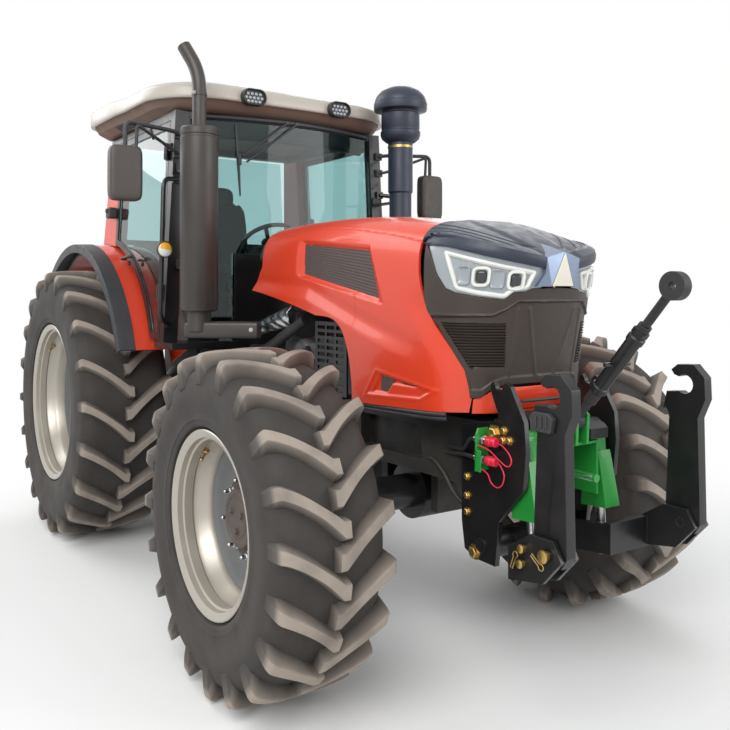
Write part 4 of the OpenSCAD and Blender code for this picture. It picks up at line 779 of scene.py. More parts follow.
def within(x: Array, z: Array, corners: Sequence[Point]) -> Array:
    """How far points lie inside a convex outline, negative outside: the least distance from its edges."""
    c = np.asarray(corners, float)
    t = unit(np.roll(c, -1, axis=0) - c)
    turn = np.sign(winding(c))
    return np.min(turn * (t[:, 0] * (z[..., None] - c[:, 1]) - t[:, 1] * (x[..., None] - c[:, 0])), axis=-1)


def loop(points: Sequence[Point], bend: float, steps: int = 6) -> Array:
    """A closed outline with each of its corners bent and its sides divided."""
    p = np.asarray(points, float)
    parts = []
    for before, corner, after in zip(np.roll(p, 1, axis=0), p, np.roll(p, -1, axis=0)):
        parts.append(bent(before, corner, after, bend, steps))
        end, last = toward(corner, after, bend), toward(after, corner, bend)
        parts.append(end + np.linspace(0.0, 1.0, 12)[1:-1, None] * (last - end))
    return np.concatenate(parts)


def inset(outline: Array, by: float) -> Array:
    """A closed outline moved inwards square to itself."""
    t = unit(np.roll(outline, -1, axis=0) - np.roll(outline, 1, axis=0))
    return outline + by * np.sign(winding(outline)) * np.stack([-t[:, 1], t[:, 0]], 1)


def raised(points: Array, height: Array) -> Array:
    """A grid of points moved along its own normals, the cross product of its two directions."""
    n = np.cross(np.gradient(points, axis=0), np.gradient(points, axis=1))
    n /= np.maximum(np.linalg.norm(n, axis=2, keepdims=True), 1e-12)
    return points + n * height[..., None]


@dataclass(frozen=True)
class HoodLines:
    """The curves that the hood and the nose lie on, in metres from the rear axle."""

    start: float = 1.64
    half: float = 0.43
    length: float = 0.43
    lean: float = 0.2
    lean_from: float = 1.79
    top: float = 2.17
    crown: float = 0.25
    nose: float = WHEELBASE + 0.43
    peak: float = WHEELBASE - 0.56
    arch: tuple = (WHEELBASE - 0.44, WHEELBASE - 0.08)
    rake: float = 0.115
    bow: float = 0.045
    crown_power: float = 0.62
    plan_power: float = 0.8

    def width(self, x: Array) -> Array:
        """Half the hood's width, a little less towards the cab."""
        return self.half - 0.025 * (np.maximum(0.0, self.nose - x) / (self.nose - self.start)) ** 2

    def crest(self, x: Array) -> Array:
        """Height of the crown along the middle: two parabolas that meet at the peak."""
        back = np.maximum(0.0, self.peak - x) / (self.peak - self.start)
        ahead = np.maximum(0.0, x - self.peak) / (self.nose - self.peak)
        return self.top - 0.018 * back**2 - 0.075 * ahead**2

    def shoulder(self, x: Array) -> Array:
        """Height at which the side turns into the crown."""
        return self.crest(x) - self.crown

    def sill(self, x: Array) -> Array:
        """Height of the lower edge: a falling line, a rounded drop behind the wheel, then nearly level."""
        a, b = self.arch
        rear = 1.765 - 0.126 * (np.maximum(0.0, x - self.start) / (a - self.start)) ** 1.2
        share = np.clip((x - a) / (b - a), 0.0, 1.0)
        fall = 1.215 + 0.424 * np.maximum(0.0, 1 - share**4.5) ** 0.55
        return np.where(x < a, rear, np.where(x < b, fall, 1.215 + 0.03 * (x - b) / 0.9))

    def nose_half(self, x: Array) -> Array:
        """Half the nose's width in plan: a rounded square corner of power 2.5."""
        return self.half * np.maximum(0.0, 1 - (np.maximum(0.0, x - self.nose) / self.length) ** 2.5) ** 0.4

    def leaned(self, x: Array, z: Array) -> Array:
        """Length after the nose's lean, which falls back below the lamps."""
        return x + np.where(x < self.nose, 0.0,
                            self.lean * (x - self.nose) / self.length * (z - self.lean_from))

    def edge(self, f: Array) -> tuple[Array, Array]:
        """Length and height of the red panel's front edge at a share of the side's height."""
        n = self.nose
        table = spline([(0, n + 0.312, 1.243), (0.18, n + 0.314, 1.335), (0.38, n + 0.272, 1.44),
                        (0.58, n + 0.182, 1.54), (0.74, n + 0.082, 1.64), (0.85, n + 0.024, 1.745),
                        (1.0, n, 1.846)], 120)
        return np.interp(f, table[:, 0], table[:, 1]), np.interp(f, table[:, 0], table[:, 2])

    def side(self, u: Array, f: Array) -> Array:
        """A point of the right side: straight behind, drawn to the front edge by the fifth power of u."""
        ex, ez = self.edge(f)
        start = self.start + self.rake * f**1.3
        x = start + (ex - start) * u
        z0 = self.sill(x) + f * (self.shoulder(x) - self.sill(x))
        z = z0 + (ez - z0) * u**5
        y = np.where(x < self.nose, self.width(x), self.nose_half(x))
        return np.stack([self.leaned(x, z), -y, z], -1)

    def over(self, x: Array, t: Array) -> Array:
        """A point of the crown at an angle from the right: a root of cos wide, a power of sin high."""
        c, s = np.cos(np.radians(t)), np.sin(np.radians(t))
        y = -self.width(x) * np.sign(c) * np.abs(c) ** 0.5
        z = self.shoulder(x) + self.crown * np.maximum(s, 0.0) ** self.crown_power
        return np.stack([x + 0 * t, y, z], -1)

    def rear_edge(self, t: Array) -> Array:
        """Length of the crown's rear edge, which bows forwards in the middle."""
        return self.start + self.rake + self.bow * np.sin(np.radians(t))

    def narrowing(self, x: Array, z: Array) -> Array:
        """Share of the full width that the crown has at a height."""
        q = np.clip((z - self.shoulder(x)) / self.crown, 0.0, 1.0) ** (1 / self.crown_power)
        return np.sqrt(np.cos(np.arcsin(q)))

    def skin_y(self, x: Array, z: Array) -> Array:
        """Half width of the hood's skin at a height."""
        return self.width(x) * self.narrowing(x, z)

    def ahead(self, a: Array) -> Array:
        """Share of the nose's length at an angle from straight ahead."""
        return np.maximum(0.0, np.cos(np.radians(a))) ** self.plan_power

    def plan(self, a: Array) -> Array:
        """Length on the nose at an angle from straight ahead."""
        return self.nose + self.length * self.ahead(a)

    def face(self, a: Array, z: Array, deep: float | Array = 0.0) -> Array:
        """A point of the nose at an angle from straight ahead, a height and a depth."""
        x = self.plan(a)
        half = self.nose_half(x) * self.narrowing(np.float64(self.nose), z) * (1 - deep / self.half)
        return np.stack([self.leaned(x, z) - deep * self.ahead(a), np.sign(a) * half, z + 0 * x], -1)

    def across(self, a: Array, table: Sequence[Point]) -> Array:
        """A height that changes across the nose, from a table of how far forward it stands."""
        t = np.asarray(table)
        return np.interp((self.plan(a) - self.nose) / self.length, t[:, 0], t[:, 1])

    def cap_z(self, a: Array) -> Array:
        """Height of the cap's front edge."""
        return np.interp(np.abs(a), [0, 10, 28, 48.5, 75.6, 88], [1.902, 1.906, 1.928, 1.956, 2.002, 2.014])

    def lamp_z(self, a: Array) -> Array:
        """Height of the headlamps' lower edge."""
        return np.interp(np.abs(a), [0, 15, 18, 26.8, 32, 50, 65.9, 73.1, 79.8, 84.8, 88],
                         [1.785, 1.778, 1.766, 1.76, 1.73, 1.743, 1.76, 1.778, 1.841, 1.938, 1.985])

    def low_z(self, a: Array) -> Array:
        """Height of the grille's lower edge."""
        return self.across(a, [(0, 1.846), (0.042, 1.76), (0.128, 1.68), (0.3, 1.61), (0.46, 1.53),
                               (0.64, 1.43), (0.695, 1.36), (0.72, 1.308), (0.8, 1.308), (0.875, 1.35),
                               (0.93, 1.364), (1, 1.366)])


LINES = HoodLines()


@dataclass
class HoodSkin:
    """The red hood with its shut lines, recessed side vents, fold and flared lower lip."""

    body: str = "hood_body"
    wall: float = 0.012
    vent: tuple = ((2.246, 2.027), (2.883, 1.963), (2.97, 1.724), (2.247, 1.855))
    vent_frame: tuple = ((2.196, 2.052), (2.906, 1.986), (3.03, 1.694), (2.166, 1.842))
    small_vent: tuple = (((3.027, 1.373), (3.12, 1.354), (3.085, 1.312), (3.063, 1.29), (2.952, 1.284)),
                         ((3.08, 1.362), (3.282, 1.34), (3.279, 1.334), (3.11, 1.336)))
    small_frame: tuple = ((2.985, 1.388), (3.395, 1.33), (3.3, 1.282), (2.895, 1.266))
    sink: float = 0.015
    fold: tuple = ((1.64, 1.832), (1.703, 1.829), (2.307, 1.792), (2.839, 1.632), (3.241, 1.526), (3.5, 1.44))

    def relief(self, x: Array, z: Array, u: Array, t: Array) -> Array:
        """Height above the plain surface.

        The vent sinks between its frame and its edge, the lip flares out below the fold, a ridge follows the
        small vent's frame, and a groove with a step follows the crown's shut line.
        """
        side = (t <= 0) | (t >= 180)
        outer, inner = within(x, z, self.vent_frame), within(x, z, self.vent)
        share = np.clip(outer / np.maximum(outer - inner, 1e-6), 0.0, 1.0) * (outer > 0)
        height = -self.sink * rise(share, 0.0, 1.0) - 0.006 * rise(inner, -0.002, 0.006)
        line = np.interp(x, *np.transpose(self.fold))
        flare = 0.02 * rise(line - z, 0.0, 0.085) - 0.004 * rise(line - z, -0.05, 0.0)
        height = height + side * (1 - rise(x, 2.95, 3.35)) * flare
        rim = within(x, z, self.small_frame)
        height = height + side * (0.003 * np.exp(-((rim / 0.008) ** 2)) - 0.004 * rise(rim, 0.0, 0.016))
        hole = np.max([within(x, z, part) for part in self.small_vent], axis=0)
        height = height - side * 0.008 * rise(hole, -0.003, 0.004)
        bevel = side * rise(u, 0.9, 1.0) * rise(1.8 - z, 0.0, 0.12)
        height = height - 0.014 * bevel
        angle = np.minimum(t, 180 - t)
        seam = 45 - 21 * u**1.2
        groove = 0.006 * np.exp(-(((angle - seam) / 1.1) ** 2)) + 0.004 * rise(angle, seam - 1, seam + 1)
        return height - groove * ~side

    def surface(self, across: int, side: int, over: int) -> Array:
        """The outer surface as a grid: right side from its edge up, over the crown, down the left side."""
        even = np.linspace(0.0, 1.0, across)
        u = np.interp(even, [0.0, 0.34, 0.7, 1.0], [0.0, 0.53, 0.68, 1.0])[:, None]
        f = np.linspace(0.0, 1.0, side)[None, :]
        dense = np.linspace(0.0, 180.0, 20001)
        arc_y, arc_z = LINES.over(np.full_like(dense, 2.4), dense)[:, 1:].T
        level = np.minimum(dense, 180 - dense)
        weight = np.where((level > 18) & (level < 50), 2.6, 1.0)
        run = np.concatenate([[0], np.cumsum(np.hypot(np.diff(arc_y), np.diff(arc_z)) * weight[1:])])
        t = np.interp(np.linspace(0.0, run[-1], over)[1:-1], run, dense)[None, :]
        right = LINES.side(u, f)
        start = LINES.rear_edge(t)
        x = start + (LINES.nose - start) * u
        crown = LINES.over(x + 0 * t, t + 0 * u)
        left = right[:, ::-1] * [1, -1, 1]
        points = np.concatenate([right, crown, left], axis=1)
        angle = np.concatenate([np.zeros(side), t[0], np.full(side, 180.0)])[None, :] + 0 * u
        height = self.relief(points[..., 0], points[..., 2], u + 0 * angle, angle)
        return raised(points, height)

    def rimmed(self) -> Shape:
        """The outer surface and an inner wall, joined by a rim all round."""
        outer = self.surface(256, 90, 140)
        inner = raised(outer, np.full(outer.shape[:2], -self.wall))
        n, m = outer.shape[:2]
        ids = np.arange(n * m).reshape(n, m)
        rim = np.concatenate([ids[0], ids[1:, -1], ids[-1, -2::-1], ids[-2:0:-1, 0]])
        edge = np.stack([outer.reshape(-1, 3)[rim], inner.reshape(-1, 3)[rim]])
        shape = join(grid(outer), grid(inner[::6, ::6], flip=True), grid(edge, wrap_v=True))
        return shape.moved(REAR_X, 0, 0)

    def cowl(self) -> Shape:
        """The black seal that closes the gap between the hood's rear edge and the windscreen."""
        t = np.linspace(4.0, 176.0, 60)[None, :]
        run = np.linspace(-0.13, 0.06, 8)[:, None]
        points = LINES.over(LINES.rear_edge(t) + run, t + 0 * run)
        return grid(placed(raised(points, -0.01 - 0.25 * np.maximum(0.0, -run) + 0 * t)))

    def panel(self) -> Shape:
        """The dark mesh in the upper vent: a sheet between its four corners with fine ribs along it."""
        a, b, c, d = (np.array(p) for p in self.vent)
        u, v = np.meshgrid(np.linspace(-0.012, 1.012, 60), np.linspace(-0.02, 1.02, 60), indexing="ij")
        u, v = u[..., None], v[..., None]
        flat = (1 - v) * ((1 - u) * a + u * b) + v * ((1 - u) * d + u * c)
        x, z = flat[..., 0], flat[..., 1]
        ribs = 0.0012 * np.sin(2 * np.pi * 14 * v[..., 0])
        y = -(LINES.skin_y(x, z) - self.sink - 0.003 + ribs)
        return grid(np.stack([x + REAR_X, y, z], -1))

    def small_panel(self) -> Shape:
        """The dark plates at the bottom of the lower vent, laid on the sunk skin."""
        plates = []
        for part in self.small_vent:
            x, z = inset(np.asarray(part), -0.002).T
            middle = np.array([[x.mean()], [z.mean()], [0.7], [0.0]])
            y = LINES.width(x) + 0.0015 + float(self.relief(*middle)[0])
            outer = placed(np.stack([x, -y, z], 1))
            plates.append(tube(np.stack([outer, outer + [0, 0.004, 0]])))
        return join(*plates)

    def strips(self) -> Shape:
        """Two rubber strips under the lower edge, from behind the wheel to the nose."""
        x = np.linspace(2.8, 3.5, 40)
        half = np.where(x < LINES.nose, LINES.width(x), LINES.nose_half(x))
        parts = []
        for drop, out in ((0.006, 0.002), (0.024, -0.004)):
            z = LINES.sill(x) - drop
            path = np.stack([LINES.leaned(x, z) + REAR_X, -(half + out), z], 1)
            parts.append(sweep(path, 0.009, 10))
        return join(*parts)

    def build(self) -> None:
        """Makes the hood's pieces."""
        piece("hood_shell", self.rimmed(), RED, self.body, ["hood"], smooth=50)
        mesh = join(self.panel().both(), self.small_panel().both())
        piece("hood_vent_mesh", mesh, MESH, self.body, ["hood_vents"])
        walled(piece("hood_rear_seal", self.cowl(), RUBBER, self.body), 0.006)
        piece("hood_edge_strips", self.strips().both(), RUBBER, self.body)


@dataclass
class NoseFace:
    """The black cap, the grille, the headlamps and the bright wedge between them."""

    body: str = "hood_body"
    ring: tuple = ((-75.6, 1.942), (-55.2, 1.905), (-34.5, 1.874), (-13.6, 1.849), (-17.9, 1.773),
                   (-26.8, 1.768), (-32.3, 1.736), (-50.0, 1.75), (-65.9, 1.772))
    ring_width: float = 0.018
    projectors: tuple = ((-49.2, 1.826), (-26.4, 1.81))
    louvres: tuple = ((-76.0, 1.628), (-29.0, 1.628), (-26.0, 1.44), (-51.5, 1.44))
    louvre_pitch: float = 0.0122
    reach: float = 88.0
    cap_half: float = 66.0

    def cap(self) -> Shape:
        """The cap: a parabola from the hood's crown to the lamps, ridged.

        A ridge follows a constant m + 38 q to the power 1.2, where m is the angle from the middle in degrees,
        so the ridges close in towards the front; each is a narrow groove.
        """
        angles = np.linspace(90 - self.cap_half, 90 + self.cap_half, 301)
        t, q = np.meshgrid(angles, np.linspace(0.0, 1.0, 110), indexing="ij")
        back = LINES.over(np.full_like(t, LINES.nose), t)
        a = (t - 90) * self.reach / self.cap_half
        front = LINES.face(a, LINES.cap_z(a))
        mid = (back + front) / 2 + [0.02, 0.0, 0.014]
        w = q[..., None]
        points = (1 - w) ** 2 * back + 2 * w * (1 - w) * mid + w**2 * front
        m = np.abs(t - 90)
        key = m + 38 * q**1.2
        wave = -np.sum([np.exp(-(((key - k) / 1.0) ** 2)) for k in (34.0, 45.0, 56.0)], axis=0)
        area = rise(key, 20, 26) * (1 - rise(key, 60, 66)) * rise(0.82 - q, 0.0, 0.05) * rise(q, 0.0, 0.06)
        spine = 0.01 * (1 - rise(m, 4, 9)) * (0.35 + 0.65 * np.sin(np.pi * q))
        left = self.cap_half - m
        brow = 0.008 * rise(q, 0.83, 0.87) * rise(m, 6, 10) * rise(left, 0.0, 12.0)
        points[..., 2] += (0.007 * wave * area + spine + brow) * rise(left, 0.0, 6.0)
        edge = a[:, :1]
        fall = np.array([0.004, 0.012, 0.024, 0.036, 0.042, 0.043, 0.04])[None, :]
        deep = np.array([-0.003, -0.005, -0.005, -0.004, -0.001, 0.006, 0.012])[None, :]
        deep = deep * rise(self.reach - np.abs(edge), 0.0, 8.0)
        band = LINES.face(edge + 0 * fall, LINES.cap_z(edge) - fall, deep)
        return grid(placed(np.concatenate([points, band], axis=1)) + [0.001, 0, 0])

    def grille(self) -> Shape:
        """The grille's face with a step under the lamps, sunk louvre fields and a V of ribs in the middle."""
        fine, coarse = np.linspace(-29.5, 29.5, 119), np.linspace(30, self.reach, 70)
        angles = np.concatenate([-coarse[::-1], fine, coarse])
        a, k = np.meshgrid(angles, np.linspace(0.0, 1.0, 110), indexing="ij")
        z = (LINES.lamp_z(a) - 0.004) * (1 - k) + LINES.low_z(a) * k
        m = np.abs(a)
        line = np.interp(m, [0, 10.3, 22.6, 30, 38.8, 90], [1.722, 1.722, 1.722, 1.689, 1.662, 1.658])
        deep = 0.006 + 0.006 * rise(line - z, 0.0, 0.006) - 0.004 * np.exp(-(((z - line) / 0.004) ** 2))
        slant = np.interp(z, [1.403, 1.69], [4.6, 14.5])
        ribs = 0.006 * np.exp(-(((m - slant) / 0.9) ** 2)) + 0.005 * np.exp(-(((m - 22.0) / 0.9) ** 2))
        deep = deep - ribs * rise(1.7 - z, 0.0, 0.01) * rise(z, 1.395, 1.405)
        sunk = within(-m / 100, z, [(x / 100, y) for x, y in self.louvres])
        deep = deep + 0.012 * rise(sunk, 0.0, 0.006) - 0.005 * rise(k, 0.9, 0.93) * rise(55 - m, 0.0, 5.0)
        return grid(placed(LINES.face(a, z, deep)))

    def slats(self) -> Shape:
        """The louvres: level strips whose faces tip outwards at the top, cut to the slanting field."""
        z = np.arange(self.louvres[2][1] + 0.006, self.louvres[0][1] - 0.004, self.louvre_pitch)
        table = np.asarray(self.louvres)
        start = np.interp(z, table[[3, 0], 1], table[[3, 0], 0])
        end = np.interp(z, table[[2, 1], 1], table[[2, 1], 0])
        w = np.linspace(0.0, 1.0, 40)
        a = start[:, None, None] + (end - start)[:, None, None] * w[None, :, None]
        profile = np.array([(0.022, 0.0075), (0.01, 0.0075), (0.0085, 0.006), (0.0125, 0.0), (0.022, 0.0)])
        deep = profile[None, None, :, 0] + 0 * a
        height = z[:, None, None] + profile[None, None, :, 1] + 0 * a
        points = placed(LINES.face(a + 0 * deep, height, deep))
        return join(*[grid(p, wrap_v=True) for p in points])

    def lamp_body(self) -> Shape:
        """The grey housing behind the lamp's clear cover."""
        a, k = np.meshgrid(np.linspace(-87.0, -8.6, 70), np.linspace(0.0, 1.0, 30), indexing="ij")
        top = LINES.cap_z(a) - 0.034
        z = top * (1 - k) + (LINES.lamp_z(a) - 0.002) * k
        return grid(placed(LINES.face(a, z, 0.012)))

    def run(self, a: Array) -> Array:
        """Distance along the nose at lamp height from straight ahead, negative on the right."""
        angles = np.linspace(-89.0, 0.0, 900)
        places = LINES.face(angles, np.full_like(angles, 1.82))
        steps = np.linalg.norm(np.diff(places, axis=0), axis=1)
        far = np.concatenate([np.cumsum(steps[::-1])[::-1], [0.0]])
        return -np.interp(a, angles, far)

    def angle(self, s: Array) -> Array:
        """The angle on the nose of a distance along it."""
        angles = np.linspace(-89.0, 0.0, 900)
        return np.interp(s, self.run(angles), angles)

    def band(self, outline: Array, steps: Sequence[Point], fill: bool = False) -> Shape:
        """A frame around an outline on the nose: each step is an inset and a depth; fill closes the last."""
        rows = []
        for by, deep in steps:
            flat = inset(outline, by)
            rows.append(LINES.face(self.angle(flat[:, 0]), flat[:, 1], deep))
        return tube(placed(np.array(rows)), first=False, last=fill)

    def light_bar(self) -> Shape:
        """The white light bar that runs round the lamp."""
        flat, w = np.asarray(self.ring, float), self.ring_width
        outline = loop(np.stack([self.run(flat[:, 0]), flat[:, 1]], 1), 0.016)
        steps = [(0.0, 0.02), (-0.001, 0.003), (0.002, 0.0), (0.5 * w, -0.001), (w - 0.003, 0.003),
                 (w, 0.008), (w + 0.002, 0.022)]
        return self.band(outline, steps)

    def framed(self, wide: float, tall: float, corner: float, steps: Sequence[Point],
               shift: Point = (0.0, 0.0), fill: bool = True) -> Shape:
        """A frame with round corners at each projector.

        Args:
            wide: Its width along the nose.
            tall: Its height.
            corner: Radius of its corners.
            steps: An inset and a depth for each loop.
            shift: How far it stands along the nose and above the projector's middle.
            fill: Whether its last loop is closed.
        Returns:
            The frames of one side.
        """
        parts = []
        for a, z in self.projectors:
            middle = [float(self.run(np.float64(a))) + shift[0], z + shift[1]]
            parts.append(self.band(round_rect(wide, tall, corner) + middle, steps, fill))
        return join(*parts)

    def bezels(self) -> Shape:
        """A rounded square frame round each projector."""
        steps = [(0.0, 0.03), (0.0, -0.002), (0.003, -0.005), (0.011, -0.005), (0.014, -0.001),
                 (0.015, 0.014)]
        return self.framed(0.08, 0.086, 0.026, steps, fill=False)

    def trays(self) -> Shape:
        """Hollow reflectors beside the projectors: frames that fall to a deep floor."""
        steps = [(0.0, 0.012), (0.002, 0.005), (0.005, 0.003), (0.009, 0.006), (0.015, 0.0105)]
        return self.framed(0.066, 0.084, 0.018, steps, (-0.08, 0.006))

    def lenses(self) -> Shape:
        """The dark projector lenses, each a low dome in its frame."""
        steps = [(-0.001, 0.014), (0.002, 0.006), (0.006, 0.003), (0.01, 0.002)]
        return self.framed(0.048, 0.054, 0.018, steps)

    def wedge(self) -> Shape:
        """The wedge's two slanting sides, from the cap's spine down to the lamps, with a small wing below."""
        p = at((3.5, 0, 2.012), (3.752, 0, 1.934), (3.738, -0.066, 1.786), (3.744, -0.1, 1.909),
               (3.736, -0.1, 1.842), (3.722, -0.138, 1.785), (3.6, 0, 1.79), (3.6, -0.1, 1.79),
               (3.6, -0.09, 1.9))
        faces = [(0, 3, 1), (1, 3, 2), (3, 4, 2), (4, 5, 2), (5, 7, 6, 2), (0, 8, 3), (8, 7, 5, 4, 3)]
        return Shape(p, faces).both()

    def wedge_front(self) -> Shape:
        """The wedge's pale three-cornered front plate."""
        p = at((3.756, 0, 1.932), (3.742, -0.064, 1.787), (3.742, 0.064, 1.787), (3.742, 0, 1.928),
               (3.728, -0.06, 1.79), (3.728, 0.06, 1.79))
        return Shape(p, [(0, 1, 2), (3, 5, 4), (0, 3, 4, 1), (1, 4, 5, 2), (2, 5, 3, 0)])

    def build(self) -> None:
        """Makes the pieces of the nose."""
        walled(piece("nose_cap", self.cap(), CAP, self.body, ["hood_cap"], smooth=24), 0.01)
        walled(piece("nose_grille", self.grille(), GRILLE, self.body, ["grille"], smooth=40), 0.01)
        piece("nose_louvres", self.slats().both(), GRILLE, self.body, smooth=30)
        walled(piece("lamp_housing", self.lamp_body().both(), LAMP, self.body, ["headlamps"]), 0.006)
        piece("lamp_light_bar", self.light_bar().both(), CLEAR, self.body, smooth=40)
        piece("lamp_bezels", self.bezels().both(), CLEAR, self.body, smooth=40)
        piece("lamp_reflectors", self.trays().both(), LAMP, self.body, smooth=40)
        piece("lamp_lenses", self.lenses().both(), LENS, self.body, smooth=40)
        piece("nose_wedge", self.wedge(), WEDGE, self.body, ["nose_trim"], smooth=8)
        piece("nose_wedge_front", self.wedge_front(), CREAM, self.body, bevel=0.002, smooth=8)


# Cab

def power(w: Array, e: float) -> Array:
    """A power that keeps the sign."""
    return np.sign(w) * np.abs(w) ** e


def pad(centre: Point, half: Point, square: float = 0.45, crown: float = 0.6, seams: int = 0,
        tilt: float = 0.0, steps: tuple = (72, 40)) -> Shape:
    """A crowned closed form: a superellipsoid of angles u and v, with cos and sin raised to small powers.

    Args:
        centre: Its middle.
        half: Half its length, width and height.
        square: Power across the plan; smaller is squarer.
        crown: Power up the side; smaller is boxier.
        seams: Number of sewn grooves across its width.
        tilt: Degrees that its top leans back.
        steps: Points round it and up it.
    Returns:
        The closed shape.
    """
    u = np.linspace(-np.pi, np.pi, steps[0], endpoint=False)[None, :]
    v = np.linspace(-np.pi / 2, np.pi / 2, steps[1])[:, None]
    ring = power(np.cos(v), crown)
    x, y = ring * power(np.cos(u), square), ring * power(np.sin(u), square)
    z = power(np.sin(v), crown) + 0 * u
    if seams:
        groove = np.cos(np.pi * seams * y) ** 16
        x, z = x * (1 - 0.1 * groove * (np.abs(z) < 0.95)), z * (1 - 0.12 * groove)
    points = np.stack([x, y, z], -1) * np.asarray(half, float)
    c, s = math.cos(math.radians(tilt)), math.sin(math.radians(tilt))
    points = np.stack([points[..., 0] * c - points[..., 2] * s, points[..., 1],
                       points[..., 0] * s + points[..., 2] * c], -1)
    return grid(points + np.asarray(centre, float), wrap_v=True)


@dataclass
class Roof:
    """The pale roof shell over a brown lining, with its lamps and its air vents."""

    ends: tuple = (-0.16, 1.45)
    half: float = 0.945
    corners: tuple = (0.22, 0.42)
    waist: float = 0.034
    height: float = 0.196
    pitch: float = 0.045
    front_lamp: tuple = (1.45, 0.325, 0.168, 0.106)
    rear_lamp: tuple = (-0.162, 0.56, 0.13, 0.076)
    lamp_up: float = 0.1
    base: float = field(init=False)

    def __post_init__(self) -> None:
        """Takes the height of the roof's underside from its solid."""
        self.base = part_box("roof")[0].z

    def plan(self, by: float) -> Array:
        """The plan's outline moved inwards: round corners, a waist along each side, then a smaller copy."""
        (rear, front), (small, large) = self.ends, self.corners
        near = min(by, 0.16)
        x = np.linspace(front - large - 0.06, rear + small + 0.06, 24)
        side = np.stack([x, self.half - near - self.draw(x)], 1)
        left = np.concatenate([arc((front - large, self.half - self.waist - large), large - near, 0, 90, 22),
                               side, arc((rear + small, self.half - small), small - near, 90, 180, 14)])
        middle = np.array([(rear + front) / 2, 0.0])
        whole = np.concatenate([left, left[::-1] * [1, -1]])
        return middle + (whole - middle) * (1 - (by - near) / self.half)

    def draw(self, x: Array) -> Array:
        """How far the side is drawn in ahead of the rear posts."""
        return self.waist * rise(x, 0.36, 0.7)

    def lip(self, x: Array) -> Array:
        """Height of the lip above the underside: it rises in a soft step ahead of the rear posts."""
        return np.interp(x, [-0.16, 0.34, 0.42, 0.54, 0.62, 1.0, 1.45],
                         [0.088, 0.084, 0.084, 0.092, 0.092, 0.088, 0.08])

    def rows(self, steps: Sequence[Point]) -> Array:
        """Loops of points, each from an inset, a height and a share of the lip's height."""
        loops = []
        for by, z, share in steps:
            flat = self.plan(by)
            pitch = self.pitch * (self.ends[1] - flat[:, 0]) / (self.ends[1] - self.ends[0]) * (z > 0.03)
            loops.append(np.column_stack([flat, self.base + z + share * self.lip(flat[:, 0]) + pitch]))
        return placed(np.array(loops))

    def closed(self, steps: Sequence[Point]) -> Shape:
        """The loops as one surface with its first and last loop filled."""
        return tube(self.rows(steps))

    def shell(self) -> Shape:
        """The outer shell: lip, band, soft shoulder and a low dome."""
        h = self.height
        return self.closed([(0.1, 0.02, 0.5), (0.03, -0.004, 1), (0.012, -0.013, 1), (0.004, -0.01, 1),
                            (0.0, 0.0, 1), (0.0, 0.05, 0.5), (0.002, h - 0.062, 0), (0.012, h - 0.045, 0),
                            (0.03, h - 0.034, 0), (0.04, h - 0.033, 0), (0.065, h - 0.02, 0),
                            (0.12, h - 0.006, 0), (0.19, h + 0.006, 0), (0.3, h + 0.018, 0),
                            (0.42, h + 0.026, 0), (0.6, h + 0.032, 0), (0.8, h + 0.034, 0)])

    def lining(self) -> Shape:
        """The brown underside, sloping up from the cab to the lip."""
        return self.closed([(0.6, 0.004, 0), (0.2, 0.002, 0), (0.125, -0.0015, 0), (0.06, -0.006, 0.45),
                            (0.03, -0.0055, 1), (0.032, 0.004, 1), (0.13, 0.012, 0), (0.6, 0.012, 0)])

    def vent(self) -> Shape:
        """A slatted air vent on each side, laid on the lining's slope."""
        x, by = np.meshgrid(np.linspace(0.4, 0.62, 45), np.linspace(0.07, 0.118, 9), indexing="ij")
        slope = np.interp(by, [0.06, 0.125], [1.0, 0.0]) * (0.45 * self.lip(x) - 0.0045)
        slats = 0.0025 * (np.cos(2 * np.pi * 11 * (x - 0.4) / 0.22) > 0)
        y = self.half - self.draw(x) - by
        return grid(np.stack([x + REAR_X, y, self.base - 0.004 + slope - slats], -1)).both()

    def lamps(self, lamp: Sequence[float], facing: int, steps: Sequence[Point]) -> Shape:
        """A round-cornered frame at each side.

        Args:
            lamp: Its length, its distance from the middle, its width and its height.
            facing: 1 to the front, -1 to the rear.
            steps: An inset and a distance outwards for each loop.
        Returns:
            The frames of both sides, closed at their last loop.
        """
        x, y, wide, tall = lamp
        outline = round_rect(wide, tall, tall * 0.48, 10)
        middle = [y, self.base + self.lamp_up]
        rows = [np.column_stack([np.full(len(outline), x + facing * d), inset(outline, by) + middle])
                for by, d in steps]
        return tube(placed(np.array(rows)), first=False).both()

    def leds(self) -> Shape:
        """Small domes in rows in the front lamps."""
        rows = ((0.016, (-0.036, -0.012, 0.012, 0.036)), (-0.004, (-0.046, -0.023, 0.0, 0.023, 0.046)),
                (-0.023, (-0.033, -0.011, 0.011, 0.033)))
        dome = [(0, 0), (0.0125, 0), (0.0115, 0.004), (0.007, 0.008), (0, 0.0095)]
        middle, z0 = self.front_lamp[1], self.base + self.lamp_up
        spots = [spot(1.4785, middle + 1.2 * y, z0 + 1.25 * z) for z, ys in rows for y in ys]
        return join(*[lathe(dome, p, AHEAD, 10) for p in spots]).both()

